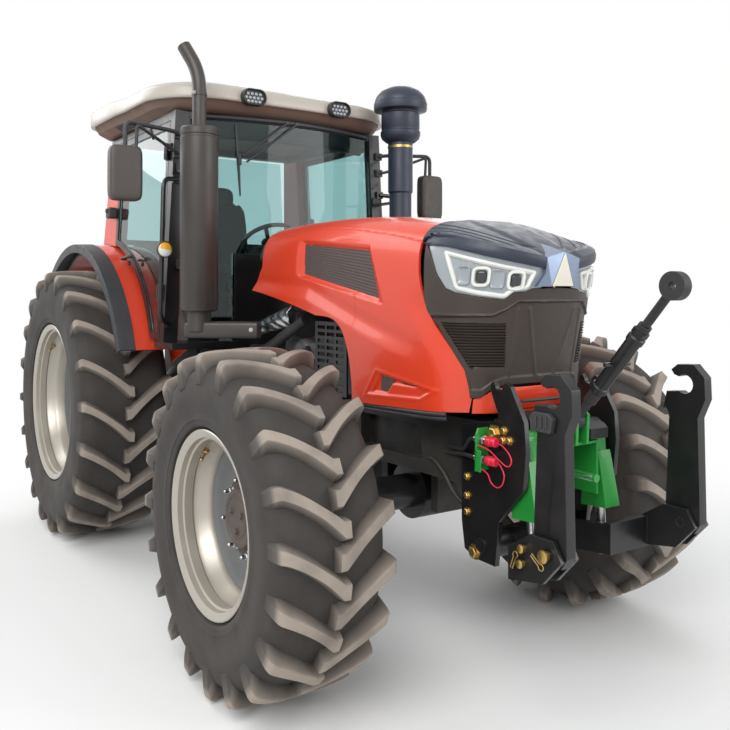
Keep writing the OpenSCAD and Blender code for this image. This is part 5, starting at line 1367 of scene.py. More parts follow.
    def build(self) -> None:
        """Makes the roof's pieces."""
        rim = [(0.0, 0.001), (0.0, 0.04), (0.003, 0.045), (0.007, 0.044), (0.01, 0.026)]
        lens = [(0.008, 0.03), (0.012, 0.04), (0.022, 0.044)]
        # The shell wears its pale colour darkened by painted shade.
        piece("roof_shell", self.shell(), ROOF_SHADED, replaces=["roof"], smooth=50)
        piece("roof_lining", self.lining(), LINING, smooth=30)
        piece("roof_vents", self.vent(), PLASTIC, smooth=30)
        piece("roof_lamp_rims_front", self.lamps(self.front_lamp, 1, rim), PLASTIC, replaces=["lamps"])
        piece("roof_lamp_rims_rear", self.lamps(self.rear_lamp, -1, rim), PLASTIC)
        piece("roof_lamp_leds", self.leds(), LAMP, smooth=60)
        piece("roof_lamp_rear_lenses", self.lamps(self.rear_lamp, -1, lens), RED_LENS)


@dataclass
class Cab:
    """What is in and on the cab: wiper, header, seals, louvres, latches, grips, levers, dash and seat."""

    screen_radius: float = 1.78
    screen_x: float = 1.42
    floor_z: float = 1.44
    lean: float = math.tan(math.radians(3.1))
    wiper_z: float = 2.868
    pivots: tuple = (-0.062, 0.011)
    header_z: float = 2.815
    slots: tuple = (2.42, 2.508, 2.592, 2.676)
    post_x: float = 1.3
    latch_z: float = 2.33
    door_y: float = 0.872
    console_z: float = 1.93
    fill: float = 0.8

    def screen(self, y: Array | float, out: float = 0.0) -> Array:
        """Length of the windscreen's outer face at a distance from the middle: an arc in plan."""
        r = self.screen_radius
        return self.screen_x - r + np.sqrt(r**2 - np.asarray(y, float) ** 2) + out

    def before(self, y: float, z: float, out: float) -> tuple[float, float, float]:
        """A place in front of the windscreen."""
        return float(self.screen(y)) + out, y, z

    def leaning(self, foot: float, z: Array | float) -> Array | float:
        """Distance of a leaning post from the middle at a height, from its distance at the floor."""
        return foot - (z - self.floor_z) * self.lean

    def wiper(self) -> Shape:
        """A wiper with two parallel arms and a nearly upright blade."""
        on, top = self.before, self.wiper_z
        blade = spline(at(on(-0.411, 2.835, 0.012), on(-0.395, 2.6, 0.016), on(-0.38, 2.372, 0.012)), 20)
        parts = [sweep(blade, np.interp(np.linspace(0, 1, 20), [0, 0.5, 1], [0.005, 0.011, 0.005]), 8)]
        for y, end_y, end_z in zip(self.pivots, (-0.372, -0.345), (2.628, 2.592)):
            arm = at(on(y, top, 0.016), on(y - 0.03, 2.845, 0.03), on(end_y, end_z, 0.028))
            parts.append(sweep(rounded(arm, 0.02), 0.007, 8))
        knob = [(0, 0), (0.016, 0), (0.016, 0.018), (0.01, 0.024), (0, 0.024)]
        parts += [lathe(knob, spot(*on(y, top, 0.004)), AHEAD, 16) for y in self.pivots]
        parts.append(sweep(at(on(-0.39, 2.635, 0.026), on(-0.39, 2.57, 0.026)), 0.013, 8))
        return join(*parts)

    def header(self) -> Shape:
        """The dark sun band and roller blind behind the top of the windscreen."""
        y = np.linspace(-0.66, 0.66, 40)
        path = np.column_stack([self.screen(y, -0.045), y, np.full_like(y, self.header_z)])
        corners = ((0, -0.045), (0, 0.07), (-0.012, 0.07), (-0.012, -0.045))
        band = np.stack([path + [dx, 0, dz] for dx, dz in corners], 1)
        return join(grid(placed(band), wrap_v=True), sweep(path + [REAR_X - 0.03, 0, -0.05], 0.018, 12))

    def seals(self) -> Shape:
        """Rubber seals round the windscreen: a bead up each side and along the top."""
        z = np.linspace(1.47, 2.86, 30)
        y = self.leaning(0.783, z)
        side = np.column_stack([self.screen(y, 0.004), y, z])
        across = np.linspace(0.0, y[-1], 20)[::-1]
        top = np.column_stack([self.screen(across, 0.004), across, np.full(20, 2.872)])
        return sweep(placed(np.concatenate([side, top])), 0.014, 8).both()

    def louvres(self) -> Shape:
        """Four slanting slots on the front face of each front post."""
        parts, x = [], self.post_x + REAR_X
        for z in self.slots:
            inner, outer = self.leaning(0.805, z) - 0.026, self.leaning(0.805, z) + 0.028
            slot = [(inner, z + 0.008), (inner, z - 0.012), (outer, z + 0.022), (outer, z + 0.042)]
            parts.append(prism(slot, x, x + 0.0035, Plane.FRONT))
        return join(*parts).both()

    def latches(self) -> Shape:
        """A rubber-capped latch block on each rear post."""
        y = self.leaning(0.86, self.latch_z)
        return join(pad(spot(0.205, y + 0.03, self.latch_z), (0.045, 0.032, 0.04), 0.3, 0.3, steps=(32, 20)),
                    pad(spot(0.205, y + 0.05, 2.345), (0.016, 0.024, 0.016), 0.4, 0.4, steps=(24, 16))).both()

    def handle(self) -> Shape:
        """The door's grip: a bow of round bar with a lock barrel beside it."""
        foot, out = self.door_y - 0.012, self.door_y + 0.026
        bow = rounded(at((0.6, foot, 1.98), (0.6, out, 1.98), (0.74, out, 1.99), (0.74, foot, 1.99)), 0.02)
        barrel = [(0, 0), (0.016, 0), (0.016, 0.012), (0, 0.012)]
        return join(sweep(bow, 0.01, 10), lathe(barrel, spot(0.68, self.door_y - 0.01, 1.95), LEFT, 16))

    def levers(self) -> Shape:
        """Levers with knobs on the side console and two stalks under the wheel."""
        parts = []
        rods = ((0.78, -0.4, 0.04, 0.17), (0.7, -0.44, 0.02, 0.13), (0.62, -0.38, 0.02, 0.12),
                (0.54, -0.44, 0.0, 0.1))
        for x, y, lean, tall in rods:
            foot = spot(x, y, self.console_z)
            top = foot + [lean, 0.01, tall]
            parts.append(sweep(np.array([foot, (foot + top) / 2 + [0.004, 0, 0], top]), 0.008, 8))
            parts.append(pad(top, (0.017, 0.014, 0.026), 0.8, 0.8, steps=(16, 12)))
        parts += [sweep(at((1.13, 0.3 * y, 2.055), (1.12, y, 2.07)), 0.008, 8) for y in (-0.15, 0.15)]
        return join(*parts)

    def binnacle(self) -> Shape:
        """The dash hood behind the wheel and a screen on the right."""
        hood = pad(spot(1.235, 0.0, 2.005), (0.11, 0.205, 0.07), 0.35, 0.6, steps=(48, 24))
        screen = pad(spot(0.93, -0.5, 2.19), (0.018, 0.085, 0.065), 0.2, 0.25, tilt=14, steps=(32, 20))
        arm = sweep(rounded(at((0.86, -0.47, 1.86), (0.9, -0.48, 2.05), (0.915, -0.5, 2.16)), 0.05), 0.012,
                    10)
        return join(hood, screen, arm)

    def seat(self) -> None:
        """The seat: padded cushion, back and head rest, arm rests, and a ribbed base."""
        shapes = {"seat_cushion": pad(spot(0.59, 0, 1.905), (0.255, 0.245, 0.058), 0.32, 0.55, 3),
                  "seat_back": pad(spot(0.245, 0, 2.17), (0.058, 0.23, 0.29), 0.45, 0.35, 3, 10),
                  "seat_head_rest": pad(spot(0.19, 0, 2.5), (0.045, 0.135, 0.075), 0.5, 0.5, 0, 10)}
        for name, shape in shapes.items():
            stands_for = ["seat"] if name == "seat_cushion" else []
            piece(name, shape, SEAT, replaces=stands_for, smooth=60, subdivide=1)
        ribs = [(0.15, 1.4404)] + [(0.15 - 0.012 * (k % 2), 1.5 + 0.33 * k / 12) for k in range(13)]
        loops = [np.column_stack([round_rect(2 * r, 1.9 * r, 0.03), np.full(24, z)]) for r, z in ribs]
        base = grid(np.array(loops) + spot(0.54, 0, 0), wrap_v=True)
        rests = [pad(spot(0.44, s * 0.285, 2.06), (0.16, 0.03, 0.028), 0.3, 0.5) for s in (-1, 1)]
        posts = sweep(at((0.262, 0, 2.4), (0.205, 0, 2.5)), 0.012, 10)
        piece("seat_base", join(base, *rests, posts), PLASTIC, smooth=40)

    def build(self) -> None:
        """Makes the cab's pieces."""
        piece("wiper", self.wiper(), RUBBER, smooth=45)
        piece("screen_header", self.header(), PLASTIC, smooth=40)
        piece("screen_seals", self.seals(), RUBBER, smooth=60)
        piece("post_louvres", self.louvres(), RUBBER, smooth=20)
        piece("post_latches", self.latches(), PLASTIC, smooth=50)
        for side, s in SIDES.items():
            piece(f"door_grip_{side}", self.handle().on_side(s), PLASTIC, f"door_{side}", smooth=45)
        piece("levers", self.levers(), PLASTIC, smooth=45)
        piece("dash_hood", self.binnacle(), PLASTIC, smooth=45)
        self.seat()


@dataclass
class Stacks:
    """The exhaust with its silencer, the air intake, the mirrors and the turn lamps."""

    x: float = 1.6
    y: float = 0.752
    silencer: tuple = (1.64, 2.736)
    radius: float = 0.113
    pipe: float = 0.042
    slant: float = 50.0
    duct_z: float = 1.532
    intake: float = 0.077
    sleeve: float = 0.009
    post_x: float = 1.3004
    mirror: tuple = (1.437, 1.148)
    mirror_z: float = 2.452
    arm_z: float = 2.88
    lamp: tuple = (0.917, 2.01)
    lens_x: float = 1.474
    lens_radius: float = 0.043
    lens_dome: float = 0.014

    def exhaust(self) -> Shape:
        """Silencer with rolled ends, tail pipe with a cut end, foot and clamp."""
        (low, high), r, p = self.silencer, self.radius, self.pipe
        can = [(0, low), (r - 0.02, low), (r - 0.008, low + 0.004), (r - 0.002, low + 0.012),
               (r - 0.002, low + 0.024), (r, low + 0.028), (r, high - 0.066), (r - 0.004, high - 0.062),
               (r - 0.004, high - 0.05), (r + 0.001, high - 0.046), (r + 0.001, high - 0.01),
               (r - 0.006, high - 0.001), (r - 0.016, high), (p + 0.006, high), (p + 0.005, high + 0.012),
               (0, high + 0.012)]
        centre = spot(self.x, -self.y, 0)
        route = np.array([(0, 0, high + 0.004), (0, 0, high + 0.33), (-0.095, -0.06, high + 0.5)])
        path = rounded(route, 0.11, 12) + centre
        outer, inner = sweep(path, p, 40), sweep(path[-5:], p - 0.005, 40)
        outer.faces = outer.faces[:-1]
        inner.faces = [tuple(f)[::-1] for f in inner.faces[:-1]]
        foot = [(0, 1.52), (0.066, 1.52), (0.072, 1.526), (0.072, 1.641), (0, 1.641)]
        clamp = [(p, 2.925), (p + 0.004, 2.926), (p + 0.004, 2.944), (p, 2.945)]
        outlines = ((can, 72), (foot, 40), (clamp, 40))
        turned = [lathe(profile, centre, UP, steps) for profile, steps in outlines]
        return join(turned[0], outer, inner, *turned[1:])

    def duct(self) -> Shape:
        """The duct from the silencer's foot to the engine: four rounded sections along a slanting line."""
        turn = heading(self.slant)[:2]
        along = np.array([-0.075, -0.075, 0.37, 0.37]) + [0.0, 0.012, -0.006, 0.0]
        ring = round_rect(0.112, 0.098, 0.02)[None] * np.array([0.82, 1.0, 1.0, 0.9])[:, None, None]
        middle = np.array([self.x, -self.y]) + along[:, None] * turn
        plan = middle[:, None] + ring[..., :1] * np.array([-turn[1], turn[0]])
        return tube(placed(np.concatenate([plan, self.duct_z + ring[..., 1:2]], -1)))

    def fixings(self) -> Shape:
        """Bolts on the duct and on the tail pipe's clamp."""
        turn = heading(self.slant)
        out = np.array([turn[1], -turn[0], 0])
        foot = spot(self.x, -self.y, 1.535)
        parts = [bolt(foot + along * turn + 0.054 * out, out, 0.009, 0.008) for along in (0.02, 0.33)]
        clamp = spot(self.x, -self.y, 2.935) + [0.03, -self.pipe - 0.002, 0]
        return join(*parts, bolt(clamp, (0.3, -0.954, 0), 0.008, 0.012))

    def stack(self) -> Shape:
        """The intake pipe and its pre-cleaner: a bowl under a wide domed cap."""
        r, wide = self.intake, self.intake + self.sleeve
        profile = [(0, 1.62), (r, 1.62), (r, 2.44), (r + 0.004, 2.446), (wide, 2.452), (wide, 2.792),
                   (0.104, 2.8), (0.13, 2.822), (0.139, 2.846), (0.139, 2.87), (0.132, 2.876),
                   (0.132, 2.89), (0.134, 2.894), (0.134, 2.992), (0.13, 2.998), (0.134, 3.008),
                   (0.16, 3.014), (0.182, 3.018), (0.186, 3.03), (0.186, 3.066), (0.181, 3.072),
                   (0.181, 3.084), (0.168, 3.116), (0.14, 3.148), (0.09, 3.174), (0.045, 3.183), (0, 3.185)]
        return lathe(profile, spot(self.x, self.y, 0), UP, 72)

    def band(self) -> Shape:
        """The clamp band under the intake's bowl."""
        r, z = self.intake + self.sleeve, 2.755
        ring = np.array([(r, z), (r + 0.003, z + 0.001), (r + 0.003, z + 0.017), (r, z + 0.018)])
        return revolve(ring, spot(self.x, self.y, 0), UP, 48)

    def elbow(self) -> Shape:
        """The intake's elbow under the pipe, and brackets from both stacks to the posts."""
        turn, start = heading(-self.slant), spot(self.x, self.y, 1.69)
        parts = [sweep(np.array([start, start + 0.2 * turn, start + 0.44 * turn]), 0.065, 32)]
        for sign, radius, heights in ((1, self.intake, (1.9, 2.38)), (-1, self.radius, (1.9, 2.5))):
            y, end = sign * self.y, self.x - radius + 0.02
            for z in heights:
                corner = spot(self.post_x, y - 0.028, z)
                parts.append(block(corner, spot(end, y + 0.028, z + 0.012)))
                parts.append(block(corner, spot(1.312, y + 0.028, z + 0.06)))
        return join(*parts)

    def mirrors(self) -> Shape:
        """Mirror housings: soft boxes."""
        return pad(spot(*self.mirror, self.mirror_z), (0.046, 0.098, 0.162), 0.42, 0.28,
                   steps=(56, 48)).both()

    def mirror_arms(self) -> Shape:
        """The bent bars that carry the mirrors, with their feet."""
        (x, y), t, foot_x, end = self.mirror, self.arm_z, 1.3205, 2.6
        main = at((foot_x, 0.77, t - 0.14), (1.36, 0.8, t - 0.135), (x, y, t - 0.12), (x, y, end))
        stay = at((foot_x, 0.775, t - 0.26), (1.35, 0.8, t - 0.258), (x + 0.03, y - 0.06, t - 0.14),
                  (x + 0.02, y - 0.06, end))
        brace = at((1.4, 0.98, t - 0.128), (1.39, 0.96, t - 0.205))
        feet = [block(spot(self.post_x, py - 0.025, pz - 0.025), spot(1.3204, py + 0.025, pz + 0.025))
                for py, pz in ((0.77, t - 0.14), (0.775, t - 0.26))]
        return join(sweep(rounded(main, 0.05), 0.013, 12), sweep(rounded(stay, 0.026), 0.01, 12),
                    sweep(brace, 0.007, 8), *feet).both()

    def mirror_glass(self) -> Shape:
        """The mirrors' glass on their rear faces."""
        x, y = self.mirror[0] + REAR_X, self.mirror[1]
        return prism(round_rect(0.14, 0.26, 0.03) + [y, self.mirror_z], x - 0.0475, x - 0.043,
                     Plane.FRONT).both()

    def turn_lamp(self, start: float, end: float) -> Shape:
        """Half of a turn lamp's lens: a dome over an arc of its face."""
        a = np.radians(np.linspace(start, end, 24))[None, :]
        share = np.linspace(0.0, 1.0, 8)[:, None]
        r = self.lens_radius * share
        x = self.lens_x + self.lens_dome * np.sqrt(np.maximum(0.0, 1 - (0.98 * share) ** 2)) + 0 * a
        y, z = self.lamp[0] + r * np.cos(a), self.lamp[1] + r * np.sin(a)
        return grid(placed(np.stack([x, y, z], -1))).both()

    def turn_cups(self) -> Shape:
        """The turn lamps' black housings on the hand rails."""
        cup = [(0, 1.4354), (0.03, 1.4354), (0.046, 1.45), (0.05, 1.462), (0.05, 1.48), (0.047, 1.482),
               (0.044, 1.474), (0, 1.473)]
        return lathe(cup, spot(0.0, *self.lamp), AHEAD, 36).both()

    def build(self) -> None:
        """Makes the stacks, mirrors and turn lamps."""
        piece("exhaust_silencer", self.exhaust(), EXHAUST, replaces=["exhaust"], smooth=34)
        piece("exhaust_duct", self.duct(), EXHAUST, smooth=34)
        piece("exhaust_bolts", self.fixings(), STEEL, smooth=30)
        piece("intake_pipe", self.stack(), CAP, replaces=["intake_stack"], smooth=30)
        piece("intake_bands", self.band(), BRASS, smooth=30)
        piece("stack_brackets", self.elbow(), PLASTIC, smooth=30)
        piece("mirror_housings", self.mirrors(), TRIM, replaces=["mirrors"], smooth=60)
        piece("mirror_arms", self.mirror_arms(), PLASTIC, smooth=50)
        piece("mirror_glass", self.mirror_glass(), CHROME, smooth=30)
        piece("turn_lamp_cups", self.turn_cups(), PLASTIC, smooth=34)
        piece("turn_lamp_amber", self.turn_lamp(10, 190), AMBER, smooth=60)
        piece("turn_lamp_clear", self.turn_lamp(190, 370), CLEAR, smooth=60)


# Hitch and engine bay

@dataclass
class Cords:
    """The free cords: red lanyards on the couplers' caps and two hoses beside the front frame."""

    lanyard: float = 0.0055
    hose: float = 0.019
    caps_x: float = WHEELBASE + 0.815
    upper: tuple = ((0.0, -0.329, 1.14), (0.04, -0.332, 1.134), (0.088, -0.338, 1.105), (0.1, -0.341, 1.075),
                    (0.078, -0.344, 1.058), (0.03, -0.346, 1.08), (-0.02, -0.348, 1.108),
                    (-0.085, -0.35, 1.12))
    lower: tuple = ((0.0, -0.329, 1.06), (0.028, -0.332, 1.052), (0.056, -0.337, 1.018), (0.05, -0.341, 0.98),
                    (0.022, -0.344, 0.962), (-0.012, -0.346, 0.978), (-0.03, -0.348, 1.01),
                    (-0.085, -0.35, 1.03))
    bends: tuple = ((3.16, 0.0, 0.985), (3.22, -0.01, 0.978), (3.29, -0.014, 0.93), (3.345, -0.014, 0.868),
                    (3.4, -0.012, 0.832), (3.45, -0.006, 0.828), (3.5, 0.0, 0.836))

    def cord(self, name: str, route: Sequence[Point], diameter: float, finish: Finish) -> None:
        """One cord along a smooth curve through its route."""
        path = spline(at(*route), 36)
        made = piece(name, sweep(path, diameter / 2, 10), finish, smooth=60)

    def build(self) -> None:
        """Makes the four cords."""
        for name, bends in (("lanyard_upper", self.upper), ("lanyard_lower", self.lower)):
            self.cord(name, [(self.caps_x + x, y, z) for x, y, z in bends], self.lanyard, COUPLER)
        for name, drop, y in (("hose_outer", 0.0, -0.262), ("hose_inner", 0.022, -0.238)):
            self.cord(name, [(x, y + dy, z - drop) for x, dy, z in self.bends], self.hose, HOSE)


@dataclass
class Hitch:
    """Small parts of the front hitch: bolts, couplers, pipes, pins, clips, latches, shaft and sleeve."""

    plate_y: float = 0.2895
    pipe: float = 0.009
    x: float = WHEELBASE
    coupler_y: float = -0.329
    couplers_z: tuple = (1.06, 1.14)
    hook_y: float = 0.4484
    claw_y: float = 0.424
    shaft_radius: float = 0.0174
    shaft_z: float = 1.0
    link_foot: tuple = (WHEELBASE + 0.945, 0.0, 1.22)
    link_rise: float = 50.0

    def plate_bolts(self) -> Shape:
        """Bolts through the side plates."""
        small = [(3.458, 0.957), (3.458, 0.874), (3.458, 0.804), (3.684, 1.187), (3.678, 1.147),
                 (3.715, 1.15)]
        heads = [(x, z, 0.0135, 0.014) for x, z in small]
        heads += [(3.625, 1.168, 0.026, 0.02), (3.505, 0.64, 0.024, 0.02)]
        return join(*[bolt(spot(x, self.plate_y, z), LEFT, r, tall) for x, z, r, tall in heads]).both()

    def bracket(self) -> Shape:
        """The green bracket of the hydraulic couplers."""
        outline = [(-0.2894, 1.01), (-0.359, 1.01), (-0.359, 1.165), (-0.345, 1.19), (-0.2894, 1.19)]
        x = self.x + 0.72
        plate = prism(outline, x + REAR_X, x + 0.01 + REAR_X, Plane.FRONT)
        return join(plate, block(spot(x, -0.359, 1.01), spot(x + 0.035, -0.352, 1.1)))

    def at_couplers(self, profile: Sequence[Point]) -> Shape:
        """A turned piece at each coupler."""
        return join(*[lathe(profile, spot(self.x, self.coupler_y, z), AHEAD, 24) for z in self.couplers_z])

    def sleeves(self) -> Shape:
        """The couplers' steel sleeves."""
        return self.at_couplers([(0, 0.69), (0.013, 0.69), (0.013, 0.728), (0.02, 0.7302), (0.02, 0.748),
                                 (0.016, 0.75), (0.016, 0.772), (0, 0.772)])

    def caps(self) -> Shape:
        """The couplers' red caps."""
        return self.at_couplers([(0, 0.764), (0.019, 0.764), (0.021, 0.768), (0.021, 0.79), (0.017, 0.793),
                                 (0.017, 0.8), (0.02, 0.803), (0.02, 0.815), (0.016, 0.819), (0, 0.82)])

    def pipes(self) -> Shape:
        """Hydraulic pipes from the front frame to the couplers."""
        y = self.coupler_y
        routes = [[(3.1, -0.24, 1.055 - d), (3.3, -0.262, 1.06 - d), (3.46, -0.31, 1.075 - 0.6 * d),
                   (self.x + 0.66, y, z), (self.x + 0.695, y, z)]
                  for d, z in zip((0.03, 0.0), self.couplers_z)]
        return join(*[sweep(rounded(at(*route), 0.03), self.pipe, 12) for route in routes[::-1]])

    def pin(self, x: float, y: float, z: float, radius: float, length: float) -> Shape:
        """A headed pin standing out of an outer face."""
        head = radius * 1.35
        profile = [(0, 0), (radius, 0), (radius, length), (head, length + 0.001), (head, length + 0.01),
                   (radius, length + 0.013), (0, length + 0.013)]
        return lathe(profile, spot(self.x + x, y, z), LEFT, 20)

    def clip(self, x: float, y: float, z: float, turn: float) -> Shape:
        """A spring clip of round wire: a loop and two legs."""
        ring = arc((0.014, 0.0), 0.012, -150, 150, 20)
        c, s = heading(turn)[:2]
        flat = np.concatenate([[(-0.045, -0.004)], ring, [(-0.045, 0.006)]]) @ np.array([[c, s], [-s, c]])
        path = np.column_stack([self.x + x + flat[:, 0], np.full(len(flat), y), z + flat[:, 1]])
        return sweep(placed(path), 0.0024, 6)

    def lift_pins(self) -> Shape:
        """Pins and clips at the hook plates and claws."""
        y = self.hook_y
        spots = ((1.085, 0.742, 0.012), (1.09, 0.8, 0.012), (1.2, 0.8, 0.018))
        pins = [self.pin(x, y, z, r, 0.012) for x, z, r in spots]
        clips = [self.clip(1.06, y + 0.02, 0.76, 70), self.clip(1.185, y + 0.024, 0.77, -35)]
        bosses = [self.pin(x, 0.1454, 0.66, 0.018, 0.006) for x in (0.79, 0.915)]
        return join(*pins, *clips, *bosses).both()

    def latches(self) -> Shape:
        """The latch housing at the left claw's mouth, with ribs and a round release."""
        x, y = self.x, self.claw_y
        outline = np.array([(1.118, 1.246), (1.215, 1.246), (1.228, 1.3), (1.205, 1.318), (1.13, 1.318),
                            (1.112, 1.3)])
        shell = prism(outline + [x + REAR_X, 0], y, y + 0.022, Plane.SIDE)
        ribs = [block(spot(x + a, y + 0.02, 1.262), spot(x + a + 0.01, y + 0.028, 1.306))
                for a in (1.142, 1.168, 1.192)]
        knob = [(0, 0), (0.016, 0), (0.016, 0.012), (0.01, 0.016), (0, 0.016)]
        return join(shell, *ribs, lathe(knob, spot(x + 1.1, 0.4, 1.278), (-1, 0, 0), 16))

    def shaft(self) -> Shape:
        """The splined end of the power shaft: a radius that steps six times round."""
        a = around(96)
        r = self.shaft_radius - 0.002 * (np.cos(6 * a) > 0.2)
        rows = [np.column_stack([np.full(96, self.x + x), r * k * np.cos(a),
                                 self.shaft_z + r * k * np.sin(a)])
                for x, k in ((0.9, 1), (1.048, 1), (1.058, 0.8))]
        return tube(placed(np.array(rows)), first=False)

    def turnbuckle(self) -> Shape:
        """The top link's threaded sleeve with its collars, lock nut and turning bar."""
        turn, start = heading(self.link_rise)[[0, 2, 1]], spot(*self.link_foot)
        length = (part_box("top_link")[1].z - start[2]) / turn[2]
        a, b = 0.22 * length, 0.6 * length
        sleeve = [(0, a), (0.03, a), (0.036, a + 0.006), (0.036, a + 0.03), (0.031, a + 0.034),
                  (0.031, b - 0.034), (0.036, b - 0.03), (0.036, b - 0.006), (0.03, b), (0, b)]
        middle, reach = start + (a + b) / 2 * turn, np.array([0, 0.075, 0])
        bar = sweep(np.array([middle - reach, middle, middle + reach]), 0.009, 10)
        nut = lathe([(0, b + 0.004), (0.034, b + 0.004), (0.034, b + 0.028), (0, b + 0.028)], start, turn, 6)
        return join(lathe(sleeve, start, turn, 28), bar, nut)

    def build(self) -> None:
        """Makes the hitch's small parts."""
        piece("top_link_sleeve", self.turnbuckle(), BLACK, "front_top_link", smooth=30)
        piece("hitch_bolts", self.plate_bolts(), BRASS, smooth=30)
        piece("coupler_bracket", self.bracket(), GREEN, replaces=["couplers"], bevel=0.002)
        piece("coupler_sleeves", self.sleeves(), STEEL, smooth=30)
        piece("coupler_caps", self.caps(), COUPLER, smooth=30)
        piece("hydraulic_pipes", self.pipes(), HOSE, smooth=50)
        piece("hook_pins", self.lift_pins(), BRASS, "front_lift", smooth=40)
        for side, s in SIDES.items():
            piece(f"claw_latch_{side}", self.latches().on_side(s), PLASTIC, f"claw_{side}_body", bevel=0.003)
        piece("shaft_spline", self.shaft(), STEEL, smooth=25)


@dataclass
class FrontPanel:
    """The red panel under the grille: a curved plate with a raised field and a black handle."""

    reach: float = 46.0
    low: float = 1.24
    field_low: float = 1.252

    def top(self, a: Array) -> Array:
        """Height of the panel's top edge: it drops towards the hood's edge on both sides."""
        return np.interp(np.abs(a), [0, 30, 36, 46.5], [1.352, 1.35, 1.325, 1.3])

    def plate(self) -> Shape:
        """The plate: heights run from its foot to its top edge, and a raised field stands on it."""
        a = np.linspace(-self.reach, self.reach, 161)[None, :]
        f = np.linspace(0.0, 1.0, 41)[:, None]
        z = self.low + f * (self.top(a) - self.low)
        lift = rise(z, self.field_low, self.field_low + 0.006) * (1 - rise(np.abs(a), 25.5, 26.6))
        lift = lift * (1 - rise(z, 1.341, 1.347))
        return grid(placed(LINES.face(a + 0 * z, z, 0.012 - 0.01 * lift)))

    def handle(self) -> Shape:
        """A grab bar with two bent ends, from angles, heights and depths on the nose."""
        bar = [(a, 1.296, -0.03) for a in np.linspace(-16, 16, 15)]
        right = [(-20.0, 1.272, 0.004), (-18.5, 1.276, -0.022)]
        left = [(17.5, 1.296, -0.024), (18.0, 1.296, 0.004)]
        return sweep(placed(LINES.face(*np.array(right + bar + left).T)), 0.0075, 10)

    def build(self) -> None:
        """Makes the panel and its handle."""
        walled(piece("front_panel_plate", self.plate(), RED, replaces=["front_panel"], smooth=40), 0.01)
        piece("front_panel_handle", self.handle(), PLASTIC, smooth=50)


@dataclass
class EngineBay:
    """What shows beside the engine: a pleated heat shield and pipes."""

    shield_y: float = 0.4
    bulge: float = 0.03
    pleat: float = 0.006
    wall: float = 0.003
    routes: tuple = (((1.55, 0.36, 1.4), (1.8, 0.4, 1.42), (2.05, 0.4, 1.52), (2.2, 0.37, 1.6)),
                     ((1.62, 0.35, 1.3), (1.9, 0.39, 1.3), (2.1, 0.38, 1.38), (2.22, 0.36, 1.44)),
                     ((1.5, 0.34, 1.22), (1.85, 0.37, 1.2), (2.15, 0.36, 1.24)))
    radii: tuple = (0.03, 0.02, 0.014)

    def shield(self) -> Shape:
        """The pleated heat shield: a patch whose height waves along its length."""
        u, v = np.meshgrid(np.linspace(0, 1, 60), np.linspace(0, 1, 24), indexing="ij")
        x, z = 1.68 + 0.42 * u, 1.49 + 0.07 * u + (0.085 + 0.04 * u) * v
        swell = np.sin(np.pi * v)
        y = self.shield_y + self.bulge * swell + self.pleat * np.sin(2 * np.pi * (5 * u + 2 * v)) * swell
        return grid(placed(np.stack([x, y, z], -1)))

    def pipes(self) -> Shape:
        """Pipes along the engine's flank."""
        runs = [sweep(spline(at(*route), 30), r, 14) for route, r in zip(self.routes, self.radii)]
        return join(*runs).both()

    def build(self) -> None:
        """Makes the engine bay's pieces."""
        walled(piece("heat_shield", self.shield().both(), STEEL, smooth=60), self.wall)
        piece("engine_pipes", self.pipes(), HOSE, smooth=60)


# Stage

